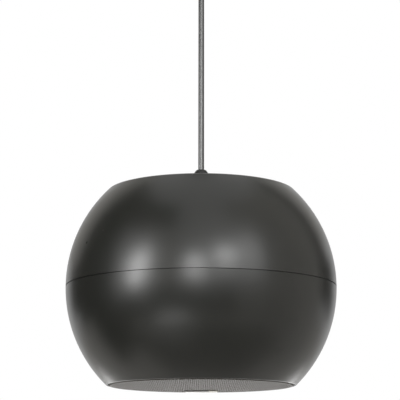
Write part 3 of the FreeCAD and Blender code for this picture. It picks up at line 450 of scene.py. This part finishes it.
fibrous = (("ring_card", "pressed_card", "#201f1d", "#2e2c29", 0.85),
           ("cone_paper", "pressed_paper_pulp", "#222120", "#353331", 0.8),
           ("fibre_board", "resin_board", "#4f2f17", "#6b4524", 0.45))
for slot, name, low_tone, high_tone, roughness in fibrous:
    tree, place = start(slot, name)
    fibres = add(tree, "ShaderNodeTexNoise", {"Vector": place, "Scale": 1 / (1.8 * MM), "Detail": 6.0,
                                              "Distortion": 1.5})
    shade = add(tree, "ShaderNodeMix", {"Factor": fibres.outputs["Fac"], "A": linear(low_tone),
                                        "B": linear(high_tone)}, data_type="RGBA")
    bump = add(tree, "ShaderNodeBump", {"Height": fibres.outputs["Fac"], "Strength": 0.35,
                                        "Distance": 0.08 * MM})
    end(tree, Base_Color=shade.outputs["Result"], Roughness=roughness, Normal=bump.outputs[0])

# %% [markdown]
# ** Ferrite** is a fired ceramic, ground on its faces. **Former foil** is thin rolled aluminium. **Enamelled
# wire** in the coils shows as fine turns, 0.35 mm apart, with painted shade: the grooves between the turns
# are coloured darker than their crowns. **Transformer steel** is a stack of 0.5 mm sheets, whose edges show
# as lines across the stack.

# %% Ferrite, foil, wire and steel sheets
tree, place = start("ferrite", "ground_ferrite")
grains = add(tree, "ShaderNodeTexNoise", {"Vector": place, "Scale": 1 / (0.6 * MM), "Detail": 4.0})
shade = add(tree, "ShaderNodeMix", {"Factor": grains.outputs["Fac"], "A": linear("#3a3a3d"),
                                    "B": linear("#4a4a4e")}, data_type="RGBA")
bump = add(tree, "ShaderNodeBump", {"Height": grains.outputs["Fac"], "Strength": 0.3, "Distance": 0.03 * MM})
end(tree, Base_Color=shade.outputs["Result"], Roughness=0.55, Normal=bump.outputs[0])

tree, place = start("former_aluminium", "rolled_aluminium")
rolled = add(tree, "ShaderNodeMapping", {"Vector": place, "Scale": (1.0, 1.0, 12.0)})
lines = add(tree, "ShaderNodeTexNoise", {"Vector": rolled.outputs[0], "Scale": 1 / (2 * MM), "Detail": 2.0})
gloss = add(tree, "ShaderNodeMapRange", {"Value": lines.outputs["Fac"], "To Min": 0.22, "To Max": 0.4})
end(tree, Base_Color=linear("#d6d6d5"), Metallic=1.0, Roughness=gloss.outputs[0])

turn_spacing = 0.35 * MM
tree, place = start("copper_wire", "enamelled_copper_wire")
turns = add(tree, "ShaderNodeTexWave", {"Vector": place, "Scale": wave_scale(turn_spacing)},
            bands_direction="Z")
bump = add(tree, "ShaderNodeBump", {"Height": turns.outputs["Fac"], "Strength": 0.7, "Distance": 0.12 * MM})
# Painted shade: the dark tone sits in the grooves between the turns, and the light one on their crowns.
shade = add(tree, "ShaderNodeMix", {"Factor": turns.outputs["Fac"], "A": linear("#7a3d1c"),
                                    "B": linear("#c8773f")}, data_type="RGBA")
end(tree, Base_Color=shade.outputs["Result"], Metallic=0.9, Roughness=0.28, Coat_Weight=0.5,
    Coat_Roughness=0.15, Normal=bump.outputs[0])

sheet_spacing = 0.5 * MM
tree, place = start("core_steel", "stacked_steel_sheets")
edges = add(tree, "ShaderNodeTexWave", {"Vector": place, "Scale": wave_scale(sheet_spacing)},
            bands_direction="Y")
shade = add(tree, "ShaderNodeMix", {"Factor": edges.outputs["Fac"], "A": linear("#57534f"),
                                    "B": linear("#85827e")}, data_type="RGBA")
bump = add(tree, "ShaderNodeBump", {"Height": edges.outputs["Fac"], "Strength": 0.5, "Distance": 0.08 * MM})
end(tree, Base_Color=shade.outputs["Result"], Metallic=1.0, Roughness=0.45, Normal=bump.outputs[0])

# %% [markdown]
# **Stiffened cloth** is the spider: cotton dipped in amber resin, its weave still showing. **Polyamide** is
# the pale terminal block. **Hook-up wire** comes in pairs, and the half of each pair to the right is black,
# so that the two can be told apart.

# %% Stiffened cloth, polyamide and hook-up wire
tree, place = start("spider_cloth", "resin_stiffened_cloth")
crossed = weave(tree, place, 0.7 * MM)
shade = add(tree, "ShaderNodeMix", {"Factor": crossed.outputs[0], "A": linear("#8a6326"),
                                    "B": linear("#c69a4e")}, data_type="RGBA")
bump = add(tree, "ShaderNodeBump", {"Height": crossed.outputs[0], "Strength": 0.5, "Distance": 0.1 * MM})
end(tree, Base_Color=shade.outputs["Result"], Roughness=0.6, Normal=bump.outputs[0])

tree, place = start("terminal_plastic", "moulded_polyamide")
grain = add(tree, "ShaderNodeTexNoise", {"Vector": place, "Scale": 1 / (1.2 * MM), "Detail": 3.0})
shade = add(tree, "ShaderNodeMix", {"Factor": grain.outputs["Fac"], "A": linear("#d3cfc3"),
                                    "B": linear("#dedacf")}, data_type="RGBA")
bump = add(tree, "ShaderNodeBump", {"Height": grain.outputs["Fac"], "Strength": 0.2, "Distance": 0.03 * MM})
end(tree, Base_Color=shade.outputs["Result"], Roughness=0.42, Subsurface_Weight=0.1, Normal=bump.outputs[0])

tree, place = start("wire_pvc", "hook_up_wire")
axes = add(tree, "ShaderNodeSeparateXYZ", {"Vector": place})
black = add(tree, "ShaderNodeMath", {0: axes.outputs["X"], 1: 0.0}, operation="GREATER_THAN")
waves = add(tree, "ShaderNodeTexNoise", {"Vector": place, "Scale": 1 / (5 * MM), "Detail": 1.0})
gloss = add(tree, "ShaderNodeMapRange", {"Value": waves.outputs["Fac"], "To Min": 0.24, "To Max": 0.36})
shade = add(tree, "ShaderNodeMix", {"Factor": black.outputs[0], "A": linear("#a31b1b"),
                                    "B": linear("#191919")}, data_type="RGBA")
end(tree, Base_Color=shade.outputs["Result"], Roughness=gloss.outputs[0])

# %% [markdown]
# The record says which slot each node takes its finish from, so one loop dresses them all.

# %% Dress the nodes
for part in frame["record"]["subparts"]:
    mesh = nodes[part["node"]].data
    mesh.materials.clear()
    mesh.materials.append(materials[part["material_slot"]])
print("finishes:", len(materials))

# %% [markdown]
# ## The cord
# The straight stretch between the gland and the ceiling grip is pulled tight by the ball's weight. It could
# be a cylinder, but a cord is a curve with a round bevel, so its length can be read from its line. Its five
# points are the route's own, evenly spread from the gland's mouth to the grip.

# %% The hanging cord
cord_exit = Vector((0, 0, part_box("cord")[0].z))
cord_end = Vector((0, 0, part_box("cord")[1].z))
cord_diameter = 5.7 * MM


def round_line(name, points, diameter):
    """A smooth round cord along one open spline through a route's points."""
    curve = bpy.data.curves.new(name, "CURVE")
    curve.dimensions = "3D"
    spline = curve.splines.new("NURBS")
    spline.points.add(len(points) - 1)
    for point, spot in zip(spline.points, points):
        point.co = (*spot, 1.0)
    spline.order_u = 3
    spline.use_endpoint_u = True
    spline.resolution_u = 12
    curve.bevel_depth = diameter / 2
    curve.bevel_resolution = 8
    curve.use_fill_caps = True
    return placed(name, curve)


route = [cord_exit.lerp(cord_end, share) for share in (0, 0.25, 0.5, 0.75, 1)]
hanging_cord = round_line("hanging_cord", route, cord_diameter)
hanging_cord.data.materials.append(materials["cord_pvc"])
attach(hanging_cord, "housing")
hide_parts("cord")

# %% [markdown]
# ## The grille
# The grille is one cap of perforated steel: round holes 1.2 mm wide in staggered rows 2 mm apart, and an
# edge that is bent up into the mouth's pocket. The holes go on round the bend, which shows as a dotted line
# under the shell's lip. Thousands of holes by boolean cuts would take minutes. Geometry Nodes do it in one
# step: every hole brings its own cell of sheet, and the cells close side by side.

# %% Sizes of the grille, read from the model where it gives them
grille_low, grille_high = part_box("grille")
grille_radius = (grille_high.x - grille_low.x) / 2
sheet_thickness = 0.8 * MM
hole_width = 1.2 * MM
pitch = 2.0 * MM
column_step = pitch * math.sqrt(3) / 2
cell_reach = pitch / math.sqrt(3)
bend_radius = 1.8 * MM
flat_radius = grille_radius - bend_radius
plain_margin = 0.1 * MM
field_radius = flat_radius - cell_reach - plain_margin
columns = 2 * math.ceil(field_radius / column_step)
rows = 2 * math.ceil(field_radius / pitch) + 1
print("grille radius", round(grille_radius, 5), "columns", columns, "rows", rows)

# %% [markdown]
# The bent edge starts as a flat strip, as long as the cap is round. Going up the strip there are four bands:
# a plain one, the one with the holes, the rest of the bend, and the wall. Drawing the cap stretches the holes
# on its bend. Only every second column has one there, because of the stagger, so the strip has half as many
# cells as columns fit round the cap, in an even number.

# %% Sizes of the bent edge
rim_length = 2 * math.pi * grille_radius
rim_cells = 2 * round(rim_length / column_step / 4)
rim_hole_width = 1.3 * MM
rim_hole_stretch = 1.6
bend_length = bend_radius * math.pi / 2
plain_band = 0.15 * MM
hole_band = 1.6 * MM
wall_band = grille_high.z - grille_low.z - bend_radius
bands = {"Plain": (0, plain_band), "Hole": (plain_band, plain_band + hole_band),
         "Rest": (plain_band + hole_band, bend_length), "Wall": (bend_length, bend_length + wall_band)}
cap_sizes = {
    "Columns": columns, "Rows": rows, "Column Step": column_step, "Half Step": column_step / 2,
    "Lattice Width": (columns - 1) * column_step, "Lattice Depth": (rows - 1) * pitch,
    "Field Radius": field_radius, "Cell Reach": cell_reach, "Hole Radius": hole_width / 2,
    "Flat Radius": flat_radius, "Face Height": grille_low.z, "Sheet": -sheet_thickness,
    "Rim Hole Radius": rim_hole_width / 2, "Rim Hole Stretch": rim_hole_stretch,
    "Rim Cells": rim_cells, "Rim Corners": rim_cells + 1, "Rim Length": rim_length,
    "Cell Width": rim_length / rim_cells, "First Cell": (rim_length / rim_cells - rim_length) / 2,
    "Outer Radius": grille_radius, "Bend Drop": -bend_radius, "Bend Length": bend_length,
    "Bend Height": grille_low.z + bend_radius, "Strip Length": bend_length + wall_band, "Wall": wall_band}
for name, (start_run, end_run) in bands.items():
    cap_sizes[name + " Band"] = end_run - start_run
    cap_sizes[name + " Middle"] = (start_run + end_run) / 2
print("cells round the rim", rim_cells, "bend", round(bend_length, 5), "wall", round(wall_band, 5))

# %% [markdown]
# The tree has named inputs for all these sizes, so it needs hardly any arithmetic of its own. The side says
# which half is made: -1 for the left one and 1 for the right one.


# %% The tree's inputs
def new_tree(name, sizes):
    """A new tree with a named input for each size, and the sockets that give them."""
    tree = bpy.data.node_groups.new(name, "GeometryNodeTree")
    for label, value in sizes.items():
        kind = "NodeSocketInt" if isinstance(value, int) else "NodeSocketFloat"
        tree.interface.new_socket(label, in_out="INPUT", socket_type=kind)
    tree.interface.new_socket("Geometry", in_out="OUTPUT", socket_type="NodeSocketGeometry")
    return tree, add(tree, "NodeGroupInput").outputs


tree, given = new_tree("perforated_cap", {**cap_sizes, "Side": 1.0})
where = add(tree, "GeometryNodeInputPosition")
along = add(tree, "ShaderNodeSeparateXYZ", {"Vector": where}).outputs

# %% [markdown]
# **Lattice.** In a staggered sheet each column is shifted by half a pitch, and the columns stand closer than
# the pitch, by half the square root of three, so that each hole has six neighbours at the same distance. A
# plain grid gives the points, and a zigzag across the columns shifts every second one: it climbs half a pitch
# from one column to the next, and falls again.

# %% Lattice of holes
zigzag_slope = 1 / math.sqrt(3)
grid = add(tree, "GeometryNodeMeshGrid", {"Size X": given["Lattice Width"], "Size Y": given["Lattice Depth"],
                                          "Vertices X": given["Columns"], "Vertices Y": given["Rows"]})
beside = add(tree, "ShaderNodeMath", {0: along["X"], 1: given["Half Step"]}, operation="ADD")
zigzag = add(tree, "ShaderNodeMath", {0: beside, 1: given["Column Step"]}, operation="PINGPONG")
shift = add(tree, "ShaderNodeMath", {0: zigzag, 1: zigzag_slope}, operation="MULTIPLY")
lattice = add(tree, "GeometryNodeSetPosition", {"Geometry": grid,
                                                "Offset": add(tree, "ShaderNodeCombineXYZ", {"Y": shift})})
far = add(tree, "ShaderNodeVectorMath", {0: where}, operation="LENGTH").outputs["Value"]
inside = add(tree, "ShaderNodeMath", {0: far, 1: given["Field Radius"]}, operation="LESS_THAN")
kept = add(tree, "GeometryNodeSeparateGeometry", {"Geometry": lattice, "Selection": inside})

# %% [markdown]
# **Face.** A cell is the hexagon that belongs to one hole, with the hole as a ring of eight sides, which is
# round enough at this size. Merging makes the cells one sheet. A last face fills what is left between the
# cells' ragged outline, whose edges belong to one cell alone, and the outer circle.


# %% The flat face
hole_sides = 8
merge_distance = 0.01 * MM


def one_face(*curves):
    """The face between closed curves."""
    joined = add(tree, "GeometryNodeJoinGeometry", {"Geometry": list(curves)})
    return add(tree, "GeometryNodeFillCurve", {"Curve": joined})


def merged(*meshes):
    """Meshes joined where their corners meet."""
    joined = add(tree, "GeometryNodeJoinGeometry", {"Geometry": list(meshes)})
    return add(tree, "GeometryNodeMergeByDistance", {"Geometry": joined, "Distance": merge_distance})


def repeated(points, cell):
    """A cell repeated on points, as one mesh."""
    copies = add(tree, "GeometryNodeInstanceOnPoints", {"Points": points, "Instance": cell})
    return merged(add(tree, "GeometryNodeRealizeInstances", {"Geometry": copies}))


hexagon = add(tree, "GeometryNodeCurvePrimitiveCircle", {"Resolution": 6, "Radius": given["Cell Reach"]})
hole = add(tree, "GeometryNodeCurvePrimitiveCircle", {"Resolution": hole_sides,
                                                      "Radius": given["Hole Radius"]})
outer_circle = add(tree, "GeometryNodeCurvePrimitiveCircle", {"Resolution": given["Rim Cells"],
                                                              "Radius": given["Flat Radius"]})
neighbours = add(tree, "GeometryNodeInputMeshEdgeNeighbors")
lone = add(tree, "ShaderNodeMath", {0: neighbours, 1: 1.0, 2: 0.1}, operation="COMPARE")
ragged = add(tree, "GeometryNodeMeshToCurve", {"Mesh": repeated(kept, one_face(hexagon)), "Selection": lone})
flat_face = merged(repeated(kept, one_face(hexagon, hole)), one_face(ragged, outer_circle))
face = add(tree, "GeometryNodeSetPosition", {
    "Geometry": add(tree, "GeometryNodeFlipFaces", {"Mesh": flat_face}),
    "Offset": add(tree, "ShaderNodeCombineXYZ", {"Z": given["Face Height"]})})

# %% [markdown]
# **Bent edge.** The strip lies flat at first: its length becomes the angle round the cap, and its height runs
# along the bend and up the wall. An arm turns from the face's edge up to the wall, and all of it turns round.


# %% The bent edge
def band(name, steps):
    """A plain band of the strip, in a number of steps."""
    grid = add(tree, "GeometryNodeMeshGrid", {"Size X": given["Rim Length"], "Size Y": given[name + " Band"],
                                              "Vertices X": given["Rim Corners"], "Vertices Y": steps + 1})
    middle = add(tree, "ShaderNodeCombineXYZ", {"Y": given[name + " Middle"]})
    return add(tree, "GeometryNodeSetPosition", {"Geometry": grid, "Offset": middle})


rim_cell = add(tree, "GeometryNodeCurvePrimitiveQuadrilateral", {"Width": given["Cell Width"],
                                                                 "Height": given["Hole Band"]})
rim_hole = add(tree, "GeometryNodeCurvePrimitiveCircle", {"Resolution": hole_sides,
                                                          "Radius": given["Rim Hole Radius"]})
rim_hole = add(tree, "GeometryNodeTransform", {
    "Geometry": rim_hole,
    "Scale": add(tree, "ShaderNodeCombineXYZ", {"X": given["Rim Hole Stretch"], "Y": 1.0, "Z": 1.0})})
first_cell = add(tree, "ShaderNodeCombineXYZ", {"X": given["First Cell"], "Y": given["Hole Middle"]})
line = add(tree, "GeometryNodeMeshLine", {
    "Count": given["Rim Cells"], "Start Location": first_cell,
    "Offset": add(tree, "ShaderNodeCombineXYZ", {"X": given["Cell Width"]})})
holed_band = repeated(line, one_face(rim_cell, rim_hole))
strip = merged(band("Plain", 1), holed_band, band("Rest", 4), band("Wall", 1))
around_angle = add(tree, "ShaderNodeMath", {0: along["X"], 1: given["Outer Radius"]}, operation="DIVIDE")
bend_angle = add(tree, "ShaderNodeMapRange", {"Value": along["Y"], "From Max": given["Bend Length"],
                                              "To Max": math.pi / 2})
rise = add(tree, "ShaderNodeMapRange", {"Value": along["Y"], "From Min": given["Bend Length"],
                                        "From Max": given["Strip Length"], "To Max": given["Wall"]})
arm = add(tree, "ShaderNodeVectorRotate", {
    "Vector": add(tree, "ShaderNodeCombineXYZ", {"Z": given["Bend Drop"]}), "Angle": bend_angle},
    rotation_type="Y_AXIS", invert=True)
root = add(tree, "ShaderNodeCombineXYZ", {"X": given["Flat Radius"], "Z": rise})
section = add(tree, "ShaderNodeVectorMath", {0: arm, 1: root}, operation="ADD")
turned = add(tree, "ShaderNodeVectorRotate", {"Vector": section, "Angle": around_angle},
             rotation_type="Z_AXIS")
wrapped = add(tree, "GeometryNodeSetPosition", {
    "Geometry": strip, "Position": turned,
    "Offset": add(tree, "ShaderNodeCombineXYZ", {"Z": given["Bend Height"]})})

# %% [markdown]
# **Thickness.** The skin is cut into a left and a right half, so that each stays a mesh of reasonable size.
# Extruding it inward leaves a moved copy and the hole walls, and the outer skin then closes the solid.

# %% Halves and thickness
skin = merged(face, wrapped)
on_side = add(tree, "ShaderNodeMath", {0: along["X"], 1: given["Side"]}, operation="MULTIPLY")
on_side = add(tree, "ShaderNodeMath", {0: on_side, 1: 0.0}, operation="GREATER_THAN")
half = add(tree, "GeometryNodeSeparateGeometry", {"Geometry": skin, "Selection": on_side}, domain="FACE")
inward = add(tree, "GeometryNodeExtrudeMesh", {"Mesh": half, "Individual": False,
                                               "Offset Scale": given["Sheet"]})
solid = merged(half, add(tree, "GeometryNodeFlipFaces", {"Mesh": inward}))
solid = add(tree, "GeometryNodeRealizeInstances", {"Geometry": solid})
coated = add(tree, "GeometryNodeSetMaterial", {"Geometry": solid, "Material": materials["grille_steel"]})
add(tree, "NodeGroupOutput", {0: coated})

# %% [markdown]
# The tree runs once for each half. Its result is turned into a plain mesh, and the modifier goes away with
# the object that carried it. Shading is smooth, except at edges sharper than a given angle.


# %% Run a tree and keep a plain mesh
def grown(name, tree, sizes):
    """A plain mesh piece that a Geometry Nodes tree makes with these sizes."""
    carrier = placed(name + "_carrier", bpy.data.meshes.new(name + "_carrier"))
    modifier = carrier.modifiers.new("grow", "NODES")
    modifier.node_group = tree
    for item in tree.interface.items_tree:
        if item.in_out == "INPUT" and item.name in sizes:
            modifier[item.identifier] = sizes[item.name]
    evaluated = carrier.evaluated_get(bpy.context.evaluated_depsgraph_get())
    mesh = bpy.data.meshes.new_from_object(evaluated)
    bpy.data.objects.remove(carrier)
    mesh.name = name
    return placed(name, mesh)


def smooth(piece, sharp_from):
    """Smooth shading, with edges sharp from this many degrees."""
    piece.data.shade_smooth()
    piece.data.set_sharp_from_angle(angle=math.radians(sharp_from))


for name, side in (("grille_left", -1.0), ("grille_right", 1.0)):
    half = grown(name, tree, {**cap_sizes, "Side": side})
    smooth(half, sharp_from=50)
    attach(half, "housing")
    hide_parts("grille")
    half.data.calc_loop_triangles()
    print(name, "triangles", len(half.data.loop_triangles))

# %% [markdown]
# ## The cup's screws
# Two pan-head screws go through the cup's wall into the bracket's legs. Their heads have a cross recess,
# which a screwdriver fits. The construction has them as plain heads, and gives their place and width.

# %% Sizes of the cup's screws
cup_low, cup_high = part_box("ceiling_cup")
screw_low, screw_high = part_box("cup_screws")
screw_sizes = {
    "Seat Start": cup_low.x, "Seat Apart": cup_high.x - cup_low.x, "Height": (screw_low.z + screw_high.z) / 2,
    "Head Radius": (screw_high.y - screw_low.y) / 2, "Head Height": screw_high.x - cup_high.x,
    "Crown Radius": 1.9 * MM, "Shank Radius": 1.5 * MM, "Shank Length": 5.5 * MM,
    "Slot Length": 3.0 * MM, "Slot Width": 0.7 * MM, "First Block": 1.0 * MM, "Second Block": 1.2 * MM}
print("screw heads", round(2 * screw_sizes["Head Radius"], 5), "wide",
      round(screw_sizes["Head Height"], 5), "high")

# %% [markdown]
# One screw is made pointing down, with its seat at zero. The head is a low cone, and the shank's top reaches
# a little way into it, so that the two join. The recess is two slots, cut by blocks whose middles lie on the
# head's top. The second block is higher than the first: if both slots ended in one plane, the cut would leave
# open edges. The tree then stands the screw on two points and turns its head outwards.

# %% Tree of the cup's screws
shank_middle = -0.45
tree, given = new_tree("cross_head_screws", screw_sizes)
head = add(tree, "GeometryNodeMeshCone", {"Vertices": 24, "Radius Bottom": given["Head Radius"],
                                          "Radius Top": given["Crown Radius"], "Depth": given["Head Height"]})
shank = add(tree, "GeometryNodeMeshCylinder", {"Vertices": 16, "Radius": given["Shank Radius"],
                                               "Depth": given["Shank Length"]})
down = add(tree, "ShaderNodeMath", {0: given["Shank Length"], 1: shank_middle}, operation="MULTIPLY")
shank = add(tree, "GeometryNodeTransform", {
    "Geometry": shank, "Translation": add(tree, "ShaderNodeCombineXYZ", {"Z": down})})
one_screw = add(tree, "GeometryNodeMeshBoolean", {"Mesh 2": [head, shank]}, operation="UNION")
for long_side, short_side, block_height in (("X", "Y", "First Block"), ("Y", "X", "Second Block")):
    size = add(tree, "ShaderNodeCombineXYZ", {
        long_side: given["Slot Length"], short_side: given["Slot Width"], "Z": given[block_height]})
    block = add(tree, "GeometryNodeTransform", {
        "Geometry": add(tree, "GeometryNodeMeshCube", {"Size": size}),
        "Translation": add(tree, "ShaderNodeCombineXYZ", {"Z": given["Head Height"]})})
    one_screw = add(tree, "GeometryNodeMeshBoolean", {"Mesh 1": merged(one_screw), "Mesh 2": block},
                    operation="DIFFERENCE")
first_seat = add(tree, "ShaderNodeCombineXYZ", {"X": given["Seat Start"], "Z": given["Height"]})
seats = add(tree, "GeometryNodeMeshLine", {
    "Count": 2, "Start Location": first_seat,
    "Offset": add(tree, "ShaderNodeCombineXYZ", {"X": given["Seat Apart"]})})
across = add(tree, "ShaderNodeSeparateXYZ", {"Vector": add(tree, "GeometryNodeInputPosition")}).outputs["X"]
outwards = add(tree, "FunctionNodeAlignRotationToVector", {
    "Vector": add(tree, "ShaderNodeCombineXYZ", {"X": across})}, axis="Z")
both = add(tree, "GeometryNodeInstanceOnPoints", {"Points": seats, "Instance": one_screw,
                                                  "Rotation": outwards})
both = add(tree, "GeometryNodeRealizeInstances", {"Geometry": both})
coated = add(tree, "GeometryNodeSetMaterial", {"Geometry": both, "Material": materials["black_steel"]})
add(tree, "NodeGroupOutput", {0: coated})

# %% [markdown]
# The tree runs once and gives both screws as one piece, as they are one node of the construction.

# %% The cup's screws
cross_head_screws = grown("cross_head_screws", tree, screw_sizes)
smooth(cross_head_screws, sharp_from=25)
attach(cross_head_screws, "housing")
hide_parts("cup_screws")

# %% [markdown]
# ## The acoustic cloth
# A disc of black cloth is glued behind the perforations. It is stretched flat, so it is a plain disc with a
# real thickness, and its weave is in its finish.

# %% The cloth disc
cloth_sides = 96
cloth_low, cloth_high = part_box("grille_cloth")
cloth_radius = (cloth_high.x - cloth_low.x) / 2
cloth_mesh = bpy.data.meshes.new("cloth_disc")
shape = bmesh.new()
bmesh.ops.create_circle(shape, cap_ends=True, segments=cloth_sides, radius=cloth_radius)
lifted = bmesh.ops.extrude_face_region(shape, geom=shape.faces[:])
for vertex in lifted["geom"]:
    if isinstance(vertex, bmesh.types.BMVert):
        vertex.co.z = cloth_high.z - cloth_low.z
bmesh.ops.translate(shape, vec=(0, 0, cloth_low.z), verts=shape.verts[:])
bmesh.ops.recalc_face_normals(shape, faces=shape.faces[:])
shape.to_mesh(cloth_mesh)
shape.free()
cloth = placed("cloth_disc", cloth_mesh)
cloth_mesh.materials.append(materials["grille_cloth"])
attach(cloth, "housing")
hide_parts("grille_cloth")

# %% [markdown]
# ## The springy rings
# A rubber surround and a corrugated spider carry the cone. Their outer edges are glued to the basket, and
# their inner edges travel with the cone. Here each ring is only cut into closed wedges, which are not made
# to move.

# %% Wedges of the springy rings
wedge_count = 12
half_wedge = math.pi / wedge_count
weld_distance = 0.001 * MM
plane_slack = 1e-7


def wedge(name, ring, k):
    """A closed wedge of a ring's own mesh."""
    shape = bmesh.new()
    shape.from_mesh(nodes[ring].data)
    bmesh.ops.remove_doubles(shape, verts=shape.verts[:], dist=weld_distance)
    for side in (-1, 1):
        edge_angle = (2 * k + side) * half_wedge
        outward = Vector((-math.sin(edge_angle), math.cos(edge_angle), 0)) * side
        cut = bmesh.ops.bisect_plane(shape, geom=shape.verts[:] + shape.edges[:] + shape.faces[:],
                                     dist=plane_slack, plane_co=(0, 0, 0), plane_no=outward, clear_outer=True)
        cut_edges = [item for item in cut["geom_cut"] if isinstance(item, bmesh.types.BMEdge)]
        bmesh.ops.holes_fill(shape, edges=cut_edges, sides=0)
    bmesh.ops.recalc_face_normals(shape, faces=shape.faces[:])
    mesh = bpy.data.meshes.new(name)
    shape.to_mesh(mesh)
    open_edges = sum(not edge.is_manifold for edge in shape.edges)
    shape.free()
    return placed(name, mesh), open_edges


# %% [markdown]
# The surround is glued on a flat land and has a roll inside it. The spider has a land too, and its inner edge
# is a collar round the coil's former. The radii of those places are worked out and printed; the wedges don't
# bend.

# %% Make the wedges
surround_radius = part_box("surround")[1].x
spider_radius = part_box("spider")[1].x
former_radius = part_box("coil_former")[1].x
surround_land = 5.0 * MM
surround_roll_width = 9.0 * MM
spider_land = 6.0 * MM
spider_collar = 1.2 * MM
rings = (("surround", "black_rubber", surround_radius - surround_land,
          surround_radius - surround_land - surround_roll_width),
         ("spider", "spider_cloth", spider_radius - spider_land, former_radius + spider_collar))
for ring, slot, fixed_radius, moving_radius in rings:
    still_open = 0
    for k in range(wedge_count):
        piece, open_edges = wedge(ring + "_wedge_" + str(k + 1), ring, k)
        still_open += open_edges
        piece.data.materials.append(materials[slot])
        smooth(piece, sharp_from=40)
        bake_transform(piece)
        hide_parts(ring)
    print(ring, "fixed from", round(fixed_radius, 4), "moves from", round(moving_radius, 4),
          "open edges", still_open)
